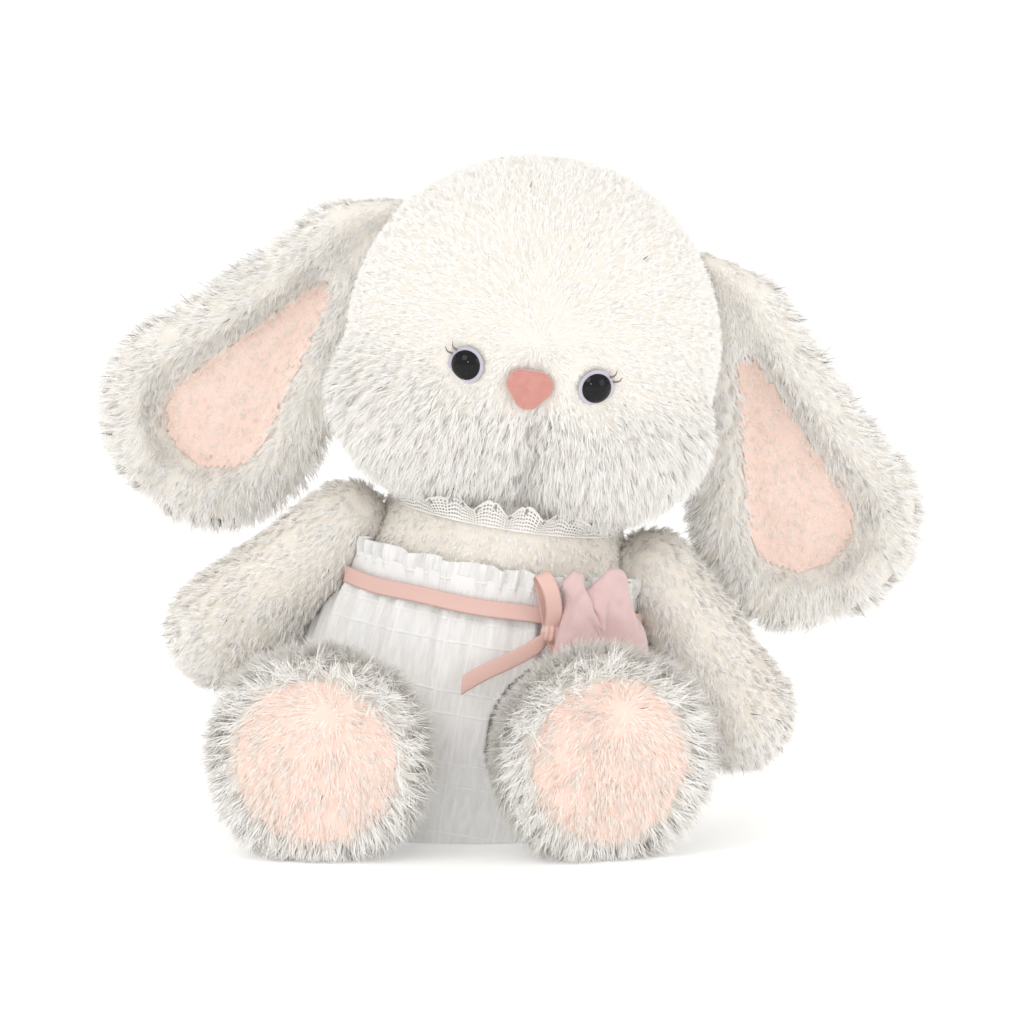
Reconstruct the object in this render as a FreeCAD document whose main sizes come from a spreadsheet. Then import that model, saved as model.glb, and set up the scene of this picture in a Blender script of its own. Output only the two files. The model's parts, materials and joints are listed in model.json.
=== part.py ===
import FreeCAD, Part
import math
import os

import Sketcher

# Seated plush rabbit in cotton shorts, in millimetres.
# World frame: +Z up, the face looks along -Y, +X is the side that the rabbit leans towards.
# The origin is the middle of the flat seat that the rabbit sits on.

Vector = FreeCAD.Vector
Rotation = FreeCAD.Rotation
Placement = FreeCAD.Placement

X_AXIS = Vector(1, 0, 0)
Y_AXIS = Vector(0, 1, 0)
Z_AXIS = Vector(0, 0, 1)

doc = FreeCAD.newDocument("plush_rabbit")

# ---------------------------------------------------------------- driving dimensions

SIZES = [
    ("lean_angle", 9.2, "lean of the upper body from upright"),
    ("head_tilt", 1.0, "extra tilt of the head"),
    ("plush_skin", 2.2, "thickness of the backed plush"),
    ("fit_gap", 0.4, "gap between soft parts that move on each other"),
    # torso
    ("torso_foot_width", 62, "half width of the torso at its seat"),
    ("torso_hip_width", 71, "half width at the hips"),
    ("torso_belly_width", 70, "half width at the belly"),
    ("torso_waist_width", 65, "half width at the waist"),
    ("torso_chest_width", 57, "half width at the chest"),
    ("torso_collar_width", 45, "half width under the collar"),
    ("torso_depth_ratio", 0.70, "half depth over half width"),
    ("collar_depth_ratio", 0.84, "half depth over half width at chest and collar"),
    ("torso_floor_level", -16, "lowest section, below the flat seat"),
    ("torso_hip_level", 18, "height of the hip section"),
    ("torso_belly_level", 58, "height of the belly section"),
    ("torso_waist_level", 102, "height of the waist section"),
    ("torso_chest_level", 118, "height of the chest section"),
    ("torso_collar_level", 127, "height of the collar section"),
    ("seat_cloth", 1.2, "thickness of the shorts' cotton double gauze"),
    # neck
    ("neck_level", 120, "height of the neck's pivot"),
    ("neck_radius", 50, "radius of the dome that the head turns on"),
    ("lace_radius", 48, "inner radius of the lace collar"),
    ("lace_thickness", 1.2, "thickness of the gathered lace"),
    ("lace_low", 136, "lower edge of the lace"),
    ("lace_height", 7, "width of the lace trim"),
    ("thread_radius", 0.6, "radius of the neck's gathering thread"),
    ("thread_ring", 46.2, "radius of the gathering thread's ring"),
    ("thread_level", 141, "height of the gathering thread"),
    # head
    ("head_level", 211, "height of the head's centre"),
    ("skull_width", 78, "half width of the head"),
    ("skull_depth", 68, "half depth of the head"),
    ("skull_height", 73, "half height of the head"),
    ("cheek_width", 80, "half width across the cheeks"),
    ("cheek_depth", 52, "half depth of the cheek pad"),
    ("cheek_height", 47, "half height of the cheek pad"),
    ("cheek_drop", 24, "how far the cheeks sit below the head's centre"),
    ("cheek_forward", 16, "how far the cheeks sit forward"),
    # eyes and nose
    ("eye_spread", 27.5, "distance of each eye from the middle of the face"),
    ("eye_drop", 8.5, "how far the eyes sit below the head's centre"),
    ("eye_radius", 6.3, "radius of a safety eye"),
    ("eye_dome", 3.6, "height of the eye's dome"),
    ("eye_rim", 0.6, "straight rim under the dome"),
    ("shank_radius", 1.6, "radius of an eye's or the nose's shank"),
    ("shank_length", 11, "length of the shank behind the face"),
    ("ring_radius", 7.8, "outer radius of the pale ring around an eye"),
    ("ring_thickness", 0.6, "thickness of that ring"),
    ("ring_gap", 0.05, "gap round the ring's two edges"),
    ("washer_radius", 7, "radius of a lock washer"),
    ("washer_thickness", 1.5, "thickness of a lock washer"),
    ("washer_depth", 6, "how far behind the face the washer grips"),
    ("lash_length", 4.5, "length of an embroidered lash"),
    ("lash_radius", 0.4, "radius of a lash"),
    ("nose_drop", 13.5, "how far the nose sits below the head's centre"),
    ("nose_width", 19.5, "width of the nose"),
    ("nose_height", 17, "height of the nose"),
    ("nose_corner", 6.2, "radius of the nose's rounded corners"),
    ("nose_thickness", 2.6, "thickness of the nose"),
    ("nose_edge", 1.1, "rounding of the nose's front edge"),
    # ears
    ("ear_root_out", 72, "sideways place of the ear's root on the head"),
    ("ear_root_up", 38, "height of the ear's root over the head's centre"),
    ("ear_root_back", 13, "how far behind the head's middle the ear's root sits"),
    ("ear_root_radius", 18, "radius of the ear's root end"),
    ("ear_tip_radius", 45, "radius of the ear's hanging end"),
    ("ear_length", 108.5, "distance from the root's centre to the end's centre"),
    ("ear_thickness", 12, "thickness of the padded ear"),
    ("ear_rounding", 4.5, "rounding of the ear's rim"),
    ("ear_splay", 29.2, "angle of the hanging ear from the head's upright"),
    ("ear_sweep", 6, "how far the ear's end swings back, as an angle"),
    ("lining_tip_radius", 24, "radius of the lining's wide end"),
    ("lining_root_radius", 6, "radius of the lining's narrow end"),
    ("lining_length", 71, "distance between the lining's end centres"),
    ("lining_thickness", 1.8, "thickness of the lining's plush"),
    ("wadding_inset", 4, "how far the wadding stays inside the ear's rim"),
    ("wadding_thickness", 5.5, "thickness of the wadding sheet"),
    ("wadding_back", 1.2, "how far the wadding sits behind the ear's middle"),
    # arms
    ("shoulder_out", 66, "sideways place of the shoulder"),
    ("shoulder_back", -8, "fore and aft place of the shoulder"),
    ("shoulder_level", 122, "height of the shoulder"),
    ("shoulder_radius", 17.5, "radius of the arm's shoulder end"),
    ("paw_radius", 23.5, "radius of the paw"),
    ("arm_length", 72.5, "distance from the shoulder's centre to the paw's centre"),
    ("arm_splay", 39.4, "angle of the hanging arm from the body's upright"),
    # legs
    ("hip_out", 50, "sideways place of the hip"),
    ("hip_forward", 46, "how far in front of the seat's middle the hip sits"),
    ("hip_level", 42.5, "height of the hip above the seat"),
    ("thigh_radius", 32, "radius of the leg's hip end"),
    ("hip_room", 5, "gap between a leg's hip end and the shorts' leg opening"),
    ("foot_edge_radius", 12, "rounding of the foot round its sole"),
    ("foot_sole_flat", 31, "radius of the flat part of the sole"),
    ("foot_edge_out", 34, "distance from the hip to the foot's widest place"),
    ("sole_radius", 34, "radius of the sole patch"),
    ("sole_thickness", 1.8, "thickness of the sole patch"),
    ("leg_yaw_right", 9, "outward turn of the leg on the -X side"),
    ("leg_yaw_left", 22, "outward turn of the leg on the +X side"),
    # shorts
    ("shorts_ease", 5, "how far the gathered shorts stand off the torso"),
    ("waist_ease", 3.2, "how far the shorts stand off the torso at their waist seam"),
    ("waist_top", 106, "height of the shorts' waist seam"),
    ("band_height", 7, "width of the elastic and of the satin ribbon"),
    ("ribbon_thickness", 0.8, "thickness of the satin ribbon"),
    ("elastic_thickness", 1.2, "thickness of the waist elastic"),
    ("ruffle_height", 12, "height of the ruffle over the waist seam"),
    ("ruffle_thickness", 1.6, "thickness of the pleated ruffle"),
    ("elastic_side_room", 1, "gap between torso and elastic at the sides"),
    ("elastic_front_room", 4.2, "gap between the waist section and the elastic in front"),
    ("ruffle_side_room", 2.4, "gap between torso and ruffle at the sides"),
    ("ruffle_front_room", 6, "gap between the waist section and the ruffle in front"),
    ("ribbon_room", 5, "gap between torso and satin ribbon, all round"),
    # bow
    ("bow_side", 25, "sideways place of the bow's knot"),
    ("bow_level", 96, "height of the bow's knot"),
    ("knot_width", 8, "width of the knot"),
    ("knot_height", 8, "height of the knot"),
    ("knot_depth", 4, "depth of the knot"),
    ("upper_loop_length", 18, "length of the upper bow loop past the knot"),
    ("side_loop_length", 6, "length of the side bow loop past the knot"),
    ("loop_depth", 3.2, "depth of a folded bow loop"),
    ("long_end_length", 40, "length of the long ribbon end past the knot"),
    ("short_end_length", 7, "length of the short ribbon end past the knot"),
    # tulip
    ("tulip_side", 45, "sideways place of the tulip's middle"),
    ("tulip_low", 89, "height of the tulip's lower edge"),
    ("tulip_width", 40, "width of the tulip's cup"),
    ("tulip_cup", 22, "height of the tulip's cup"),
    ("tulip_petal", 8, "radius of each petal's tip"),
    ("tulip_petal_rise", 28, "height of the petals' tip centres over the lower edge"),
    ("tulip_corner", 8, "rounding of the cup's lower corners"),
    ("tulip_thickness", 12, "thickness of the padded tulip"),
    ("velvet_skin", 2, "thickness of the tulip's velvet with its seam"),
    ("tulip_rounding", 3.5, "rounding of the tulip's rim"),
    ("tulip_turn", 32, "turn of the tulip round the waist"),
    # tail and pellets
    ("tail_radius", 20, "radius of the tail"),
    ("tail_back", 60, "how far behind the middle the tail's centre sits"),
    ("tail_level", 36, "height of the tail's centre"),
    ("pouch_width", 34, "half width of the pellet pouch in the seat"),
    ("pouch_depth", 18, "half depth of the pellet pouch"),
    ("pouch_height", 9, "half height of the pellet pouch"),
    ("pouch_level", 15, "height of the pellet pouch's centre"),
    ("pouch_cloth", 0.6, "thickness of the pouch's cloth"),
]

sheet = doc.addObject("Spreadsheet::Sheet", "Sizes")
for row, (alias, number, note) in enumerate(SIZES, start=1):
    sheet.set(f"A{row}", alias)
    sheet.set(f"B{row}", str(number))
    sheet.set(f"C{row}", note)
    sheet.setAlias(f"B{row}", alias)
doc.recompute()

nodes = {}


def size(alias):
    """A driving dimension, as a number."""
    return float(sheet.get(alias))


def bind(obj, **formulas):
    """Bind properties to formulas over the sheet's cells, written as {alias}."""
    for prop, formula in formulas.items():
        obj.setExpression(prop, formula.replace("{", "Sizes.").replace("}", ""))
    return obj


def node(name, obj):
    """Name an object as one of the rabbit's separate pieces."""
    obj.Label = name
    nodes[name] = obj
    return obj


# ---------------------------------------------------------------- reference frames

LEAN = Placement(Vector(0, 0, 0), Rotation(Y_AXIS, size("lean_angle")))
HEAD = LEAN.multiply(Placement(Vector(0, 0, size("head_level")), Rotation(Y_AXIS, size("head_tilt"))))


def place(frame, x, y, z, rotation=None):
    """A placement at a point of a frame, turned by rotation."""
    return frame.multiply(Placement(Vector(x, y, z), rotation or Rotation()))


# ---------------------------------------------------------------- solid helpers


def sphere(name, radius, placement):
    ball = bind(doc.addObject("Part::Sphere", name), Radius=radius)
    ball.Placement = placement
    return ball


def ellipsoid(name, width, depth, height, placement):
    blob = bind(doc.addObject("Part::Ellipsoid", name), Radius1=height, Radius2=width, Radius3=depth)
    blob.Placement = placement
    return blob


def cylinder(name, radius, height, placement):
    rod = bind(doc.addObject("Part::Cylinder", name), Radius=radius, Height=height)
    rod.Placement = placement
    return rod


def box(name, length, width, height, placement):
    block = bind(doc.addObject("Part::Box", name), Length=length, Width=width, Height=height)
    block.Placement = placement
    return block


def fused(name, *shapes):
    joined = doc.addObject("Part::MultiFuse", name)
    joined.Shapes = list(shapes)
    return joined


def cut(name, base, *tools):
    """Base less each of its tools in turn."""
    result = base
    for step, tool in enumerate(tools, start=1):
        last = step == len(tools)
        less = doc.addObject("Part::Cut", name if last else f"{name}_step_{step}")
        less.Base = result
        less.Tool = tool
        less.Refine = False
        result = less
    return result


def oval_loft(name, sections, placement):
    """A loft through upright ovals, given as (level, half width, half depth) formulas."""
    rings = []
    for index, (level, width, depth) in enumerate(sections):
        ring = doc.addObject("Part::Ellipse", f"{name}_section_{index}")
        bind(ring, MajorRadius=width, MinorRadius=depth)
        ring.setExpression("Placement.Base.z", level.replace("{", "Sizes.").replace("}", ""))
        rings.append(ring)
    loft = doc.addObject("Part::Loft", name)
    loft.Sections = rings
    loft.Solid = True
    loft.Ruled = len(rings) == 2
    loft.Placement = placement
    return loft


def oval_band(name, low, high, width, depth, thickness):
    """A flat band round the waist, thickness outside the given oval."""
    inner = oval_loft(name + "_inner", [(low, width, depth), (high, width, depth)], LEAN)
    wide = f"{width} + {thickness}"
    deep = f"{depth} + {thickness}"
    outer = oval_loft(name + "_outer", [(low, wide, deep), (high, wide, deep)], LEAN)
    return cut(name, outer, inner)


def sketch_in(body, plane_role):
    """A sketch on one of the body's own origin planes."""
    sketch = body.newObject("Sketcher::SketchObject", body.Name + "_sketch")
    planes = [f for f in body.Origin.OriginFeatures if f.Role == plane_role]
    sketch.AttachmentSupport = [(planes[0], "")]
    sketch.MapMode = "FlatFace"
    return sketch


def dimension(sketch, kind, name, formula, *references):
    """A named dimension of a sketch, bound to the sheet."""
    index = sketch.addConstraint(Sketcher.Constraint(kind, *references))
    sketch.renameConstraint(index, name)
    bind(sketch, **{f"Constraints.{name}": formula})


def number(formula):
    """The value of a formula over the sheet's cells."""
    names = {alias: size(alias) for alias, _, _ in SIZES}
    text = formula.replace("{", "").replace("}", "")
    total = 0.0
    sign = 1
    for token in text.split():
        if token in "+-":
            sign = 1 if token == "+" else -1
        else:
            total += sign * (names[token] if token in names else float(token))
    return total


def arc_of(centre_x, centre_y, radius, start, end):
    circle = Part.Circle(Vector(centre_x, centre_y, 0), Z_AXIS, radius)
    return Part.ArcOfCircle(circle, start, end)


def segment(start, end):
    return Part.LineSegment(Vector(*start, 0), Vector(*end, 0))


def revolved_limb(name, back_radius, front_radius, length, placement):
    """A limb with round ends: a teardrop turned about its own axis, local +Z along the limb."""
    small, big, span = number(back_radius), number(front_radius), number(length)
    slope = math.asin((big - small) / span)
    body = doc.addObject("PartDesign::Body", name)
    sketch = sketch_in(body, "XZ_Plane")
    touch_small = (small * math.cos(slope), -small * math.sin(slope))
    touch_big = (big * math.cos(slope), span - big * math.sin(slope))
    sketch.addGeometry(
        [
            arc_of(0, 0, small, -math.pi / 2, -slope),
            segment(touch_small, touch_big),
            arc_of(0, span, big, -slope, math.pi / 2),
            segment((0, span + big), (0, -small)),
        ],
        False,
    )
    constraint = Sketcher.Constraint
    sketch.addConstraint(
        [
            constraint("Coincident", 0, 3, -1, 1),
            constraint("PointOnObject", 2, 3, -2),
            constraint("Tangent", 0, 2, 1, 1),
            constraint("Tangent", 1, 2, 2, 1),
            constraint("Coincident", 2, 2, 3, 1),
            constraint("Coincident", 3, 2, 0, 1),
            constraint("PointOnObject", 3, 1, -2),
            constraint("PointOnObject", 3, 2, -2),
        ]
    )
    dimension(sketch, "Radius", "back_radius", back_radius, 0, small)
    dimension(sketch, "Radius", "front_radius", front_radius, 2, big)
    dimension(sketch, "DistanceY", "span", length, 0, 3, 2, 3, span)
    turn = body.newObject("PartDesign::Revolution", name + "_turned")
    turn.Profile = sketch
    turn.ReferenceAxis = (sketch, ["V_Axis"])
    turn.Angle = 360
    body.Placement = placement
    return body


def revolved_leg(name, grow, placement):
    """A leg: round at the hip, widening to a foot with a flat sole, local +Z along the leg.

    grow is added all round, so the same function makes the skin and what fills it.
    """
    thigh = "{thigh_radius}" + grow
    edge = "{foot_edge_radius}" + grow
    small, rim = number(thigh), number(edge)
    out, flat = size("foot_edge_out"), size("foot_sole_flat")
    reach = math.hypot(out, flat)
    slope = math.atan2(flat, out) + math.asin((rim - small) / reach)
    normal = (-math.sin(slope), math.cos(slope))
    touch_thigh = (small * normal[1], small * normal[0])
    touch_foot = (flat + rim * normal[1], out + rim * normal[0])
    start = math.atan2(normal[0], normal[1])
    body = doc.addObject("PartDesign::Body", name)
    sketch = sketch_in(body, "XZ_Plane")
    sketch.addGeometry(
        [
            arc_of(0, 0, small, -math.pi / 2, start),
            segment(touch_thigh, touch_foot),
            arc_of(flat, out, rim, start, math.pi / 2),
            segment((flat, out + rim), (0, out + rim)),
            segment((0, out + rim), (0, -small)),
        ],
        False,
    )
    constraint = Sketcher.Constraint
    sketch.addConstraint(
        [
            constraint("Coincident", 0, 3, -1, 1),
            constraint("Tangent", 0, 2, 1, 1),
            constraint("Tangent", 1, 2, 2, 1),
            constraint("Tangent", 2, 2, 3, 1),
            constraint("Horizontal", 3),
            constraint("Coincident", 3, 2, 4, 1),
            constraint("Coincident", 4, 2, 0, 1),
            constraint("PointOnObject", 4, 1, -2),
            constraint("PointOnObject", 4, 2, -2),
        ]
    )
    dimension(sketch, "Radius", "thigh", thigh, 0, small)
    dimension(sketch, "Radius", "rim", edge, 2, rim)
    dimension(sketch, "DistanceX", "flat", "{foot_sole_flat}", 0, 3, 2, 3, flat)
    dimension(sketch, "DistanceY", "reach", "{foot_edge_out}", 0, 3, 2, 3, out)
    turn = body.newObject("PartDesign::Revolution", name + "_turned")
    turn.Profile = sketch
    turn.ReferenceAxis = (sketch, ["V_Axis"])
    turn.Angle = 360
    body.Placement = placement
    return body


def teardrop_pad(name, root_radius, tip_radius, length, thickness, rounding, placement):
    """A flat padded teardrop: root circle at the local origin, tip circle along local +Y.

    Its thickness is centred on the local XY plane; rounding may be None.
    """
    small, big, span = number(root_radius), number(tip_radius), number(length)
    slope = math.asin((big - small) / span)
    side = (math.cos(slope), -math.sin(slope))
    body = doc.addObject("PartDesign::Body", name)
    sketch = sketch_in(body, "XY_Plane")
    sketch.addGeometry(
        [
            arc_of(0, 0, small, math.pi + slope, -slope),
            segment((small * side[0], small * side[1]), (big * side[0], span + big * side[1])),
            arc_of(0, span, big, -slope, math.pi + slope),
            segment((-big * side[0], span + big * side[1]), (-small * side[0], small * side[1])),
        ],
        False,
    )
    constraint = Sketcher.Constraint
    sketch.addConstraint(
        [
            constraint("Coincident", 0, 3, -1, 1),
            constraint("PointOnObject", 2, 3, -2),
            constraint("Tangent", 0, 2, 1, 1),
            constraint("Tangent", 1, 2, 2, 1),
            constraint("Tangent", 2, 2, 3, 1),
            constraint("Tangent", 3, 2, 0, 1),
        ]
    )
    dimension(sketch, "Radius", "root_radius", root_radius, 0, small)
    dimension(sketch, "Radius", "tip_radius", tip_radius, 2, big)
    dimension(sketch, "DistanceY", "span", length, 0, 3, 2, 3, span)
    return padded(body, sketch, thickness, rounding, placement)


def padded(body, sketch, thickness, rounding, placement):
    """Pad a sketch to both sides and round the rims of its two faces."""
    pad = body.newObject("PartDesign::Pad", body.Name + "_pad")
    pad.Profile = sketch
    bind(pad, Length=thickness)
    pad.SideType = "Symmetric"
    doc.recompute()
    if rounding:
        rims = [
            f"Edge{index}"
            for index, edge in enumerate(pad.Shape.Edges, start=1)
            if abs(edge.BoundBox.ZMax - edge.BoundBox.ZMin) < 1e-6
        ]
        fillet = body.newObject("PartDesign::Fillet", body.Name + "_rounding")
        fillet.Base = (pad, rims)
        bind(fillet, Radius=rounding)
    body.Placement = placement
    return body


def ring_plate(name, outer_radius, inner_radius, thickness, placement):
    """A flat ring, local +Z up from the XY plane."""
    body = doc.addObject("PartDesign::Body", name)
    sketch = sketch_in(body, "XY_Plane")
    for radius in (outer_radius, inner_radius):
        sketch.addGeometry(Part.Circle(Vector(0, 0, 0), Z_AXIS, number(radius)), False)
    for index, (label, radius) in enumerate((("outer", outer_radius), ("inner", inner_radius))):
        sketch.addConstraint(Sketcher.Constraint("Coincident", index, 3, -1, 1))
        dimension(sketch, "Radius", label, radius, index, number(radius))
    pad = body.newObject("PartDesign::Pad", name + "_pad")
    pad.Profile = sketch
    bind(pad, Length=thickness)
    body.Placement = placement
    return body


# ---------------------------------------------------------------- joints' places

NECK = place(LEAN, 0, 0, size("neck_level"))
SHOULDERS = {
    side: place(LEAN, sign * size("shoulder_out"), size("shoulder_back"), size("shoulder_level"))
    for side, sign in (("left", 1), ("right", -1))
}
ARMS = {
    side: SHOULDERS[side].multiply(
        Placement(Vector(0, 0, 0), Rotation(Y_AXIS, 180 - sign * size("arm_splay")))
    )
    for side, sign in (("left", 1), ("right", -1))
}


def leg_placement(side):
    """The leg's frame: local +Z from the hip to the sole, turned outward by its yaw."""
    sign = 1 if side == "left" else -1
    forward = Rotation(Z_AXIS, sign * size("leg_yaw_" + side)).multiply(Rotation(X_AXIS, 90))
    return Placement(
        Vector(sign * size("hip_out"), -size("hip_forward"), size("hip_level")), forward
    )


SIDES = (("left", 1), ("right", -1))
GROUND_SIZE = 800


def ground_up_to(name, level):
    """A block that fills everything below a level."""
    block = doc.addObject("Part::Box", name)
    block.Length = block.Width = block.Height = GROUND_SIZE
    block.Placement = Placement(Vector(-GROUND_SIZE / 2, -GROUND_SIZE / 2, level - GROUND_SIZE), Rotation())
    return block


ground = ground_up_to("ground", 0)
cloth_ground = ground_up_to("cloth_ground", size("seat_cloth"))
lined_ground = ground_up_to("lined_ground", size("seat_cloth") + size("plush_skin"))

# ---------------------------------------------------------------- legs

for side, sign in SIDES:
    skin = revolved_leg(f"leg_{side}_skin", " + 0", leg_placement(side))
    filling = revolved_leg(f"leg_{side}_filling", " - {plush_skin}", leg_placement(side))
    sole_level = size("foot_edge_out") + size("foot_edge_radius") - size("sole_thickness")
    sole = cylinder(
        f"leg_{side}_sole_disc", "{sole_radius}", "{sole_thickness}",
        place(leg_placement(side), 0, 0, sole_level),
    )
    node(f"leg_{side}_shell", cut(f"leg_{side}_shell_cut", skin, filling, sole, ground))
    node(f"leg_{side}_stuffing", filling)
    node(f"leg_{side}_sole", sole)

# ---------------------------------------------------------------- torso and tail


def torso_sections(grow):
    """The torso's oval sections, each grown by a formula."""
    sections = []
    for name in ("floor", "hip", "belly", "waist", "chest", "collar"):
        width = "{torso_" + ("foot" if name == "floor" else name) + "_width}"
        ratio = "{collar_depth_ratio}" if name in ("chest", "collar") else "{torso_depth_ratio}"
        level = "{torso_" + name + "_level}"
        sections.append((level, width + grow, f"{width} * {ratio}" + grow))
    return sections


def dome(name, radius):
    return sphere(name, radius, NECK)


def arm_forms(name, grow):
    """Both hanging arms, each grown by a formula."""
    return [
        revolved_limb(
            f"{name}_{side}", "{shoulder_radius}" + grow, "{paw_radius}" + grow, "{arm_length}", ARMS[side]
        )
        for side, _ in SIDES
    ]


def hip_balls(name, radius):
    return [sphere(f"{name}_{side}", radius, leg_placement(side)) for side, _ in SIDES]


torso_outer = fused(
    "torso_outer",
    oval_loft("torso_loft", torso_sections(""), LEAN),
    dome("torso_dome", "{neck_radius}"),
)
leg_room = hip_balls("hip_room", "{thigh_radius} + {hip_room}")
arm_room = arm_forms("arm_room", " + {fit_gap}")
torso_skin = cut("torso_skin", torso_outer, cloth_ground, *leg_room, *arm_room)
torso_core = fused(
    "torso_core",
    oval_loft("torso_core_loft", torso_sections(" - {plush_skin}"), LEAN),
    dome("torso_core_dome", "{neck_radius} - {plush_skin}"),
)
torso_filling = cut(
    "torso_filling", torso_core, lined_ground,
    *hip_balls("hip_lined_room", "{thigh_radius} + {hip_room} + {plush_skin}"),
    *arm_forms("arm_lined_room", " + {fit_gap} + {plush_skin}"),
)
POUCH = Placement(Vector(0, 6, size("pouch_level")), Rotation())
pouch_outer = ellipsoid("pouch_outer", "{pouch_width}", "{pouch_depth}", "{pouch_height}", POUCH)
pouch_inner = ellipsoid(
    "pellet_fill", "{pouch_width} - {pouch_cloth}", "{pouch_depth} - {pouch_cloth}",
    "{pouch_height} - {pouch_cloth}", POUCH,
)
node("torso_shell", cut("torso_shell_cut", torso_skin, torso_filling))
node("torso_stuffing", cut("torso_stuffing_cut", torso_filling, pouch_outer))
node("pellet_pouch", cut("pellet_pouch_cut", pouch_outer, pouch_inner))
node("pellets", pouch_inner)

# ---------------------------------------------------------------- shorts


def shorts_sections(grow):
    """The shorts' oval sections: gathered in at the waist, standing off the hips."""
    ease = " + {shorts_ease}"
    sections = []
    for name, extra in (("foot", ease), ("hip", ease), ("belly", ease), ("waist", " + {waist_ease}")):
        width = "{torso_" + name + "_width}"
        special = {"foot": "{torso_floor_level}", "waist": "{waist_top}"}
        level = special.get(name, "{torso_" + name + "_level}")
        sections.append((level, width + extra + grow, f"{width} * {{torso_depth_ratio}}" + extra + grow))
    return sections


shorts_outer = oval_loft("shorts_outer", shorts_sections(""), LEAN)
shorts_inner = oval_loft("shorts_inner", shorts_sections(" - {seat_cloth}"), LEAN)
shorts_hollow = cut("shorts_hollow", shorts_inner, cloth_ground)
node("shorts_shell", cut("shorts_shell_cut", shorts_outer, ground, shorts_hollow, *leg_room, *arm_room))

WAIST_WIDTH = "{torso_waist_width}"
WAIST_DEPTH = "{torso_waist_width} * {torso_depth_ratio}"
band_low = "{waist_top} - {band_height}"
elastic = oval_band(
    "waist_elastic_band", "{waist_top} + 0.1", "{waist_top} + {band_height}",
    WAIST_WIDTH + " + {elastic_side_room}", WAIST_DEPTH + " + {elastic_front_room}", "{elastic_thickness}",
)
ruffle = oval_band(
    "waist_ruffle_band", "{waist_top}", "{waist_top} + {ruffle_height}",
    WAIST_WIDTH + " + {ruffle_side_room}", WAIST_DEPTH + " + {ruffle_front_room}", "{ruffle_thickness}",
)
ribbon = oval_band(
    "waist_ribbon_band", band_low, "{waist_top}",
    WAIST_WIDTH + " + {ribbon_room}", WAIST_DEPTH + " + {ribbon_room}", "{ribbon_thickness}",
)
node("waist_elastic", cut("waist_elastic_cut", elastic, *arm_room))
node("waist_ruffle", cut("waist_ruffle_cut", ruffle, *arm_room))
node("waist_ribbon", cut("waist_ribbon_cut", ribbon, *arm_room))

# ---------------------------------------------------------------- bow


def waist_front(side, stand_off):
    """The fore and aft place of the waist's front at a sideways place, stand_off outside the torso."""
    wide = size("torso_waist_width") + stand_off
    deep = size("torso_waist_width") * size("torso_depth_ratio") + stand_off
    return -deep * math.sqrt(1 - (side / wide) ** 2)


bow_side = size("bow_side")
BOW_STAND_OFF = 8.5
bow_turn = Rotation(Z_AXIS, 18)
BOW = place(LEAN, bow_side, waist_front(bow_side, BOW_STAND_OFF), size("bow_level"), bow_turn)


def bow_piece(name, length, depth, height, angle, start, back=0):
    """A flat piece of the bow leaving the knot at an angle from straight right."""
    frame = BOW.multiply(Placement(Vector(0, back, 0), Rotation(Y_AXIS, -angle)))
    return node(name, box(name + "_strip", length, depth, height, place(
        frame, start, -number(depth) / 2, -number(height) / 2,
    )))


node("bow_knot", box("bow_knot_block", "{knot_width}", "{knot_depth}", "{knot_height}", place(
    BOW, -size("knot_width") / 2, -size("knot_depth") / 2, -size("knot_height") / 2,
)))
KNOT_SIDE = 4.7
KNOT_CORNER = 7.1
UPPER_BACK = -1.2
ENDS_BACK = -1
loop_size = ("{loop_depth}", "{band_height}")
end_size = ("{ribbon_thickness}", "{band_height}")
bow_piece("bow_loop_upper", "{upper_loop_length}", *loop_size, 115, KNOT_CORNER, UPPER_BACK)
bow_piece("bow_loop_side", "{side_loop_length}", *loop_size, 8, KNOT_SIDE)
bow_piece("bow_end_long", "{long_end_length}", *end_size, 228, KNOT_CORNER, ENDS_BACK)
bow_piece("bow_end_short", "{short_end_length}", *end_size, 285, KNOT_CORNER, ENDS_BACK)

# ---------------------------------------------------------------- tulip


PETAL_EDGE = math.radians(40)
PETAL_DROP = 0.3


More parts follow.
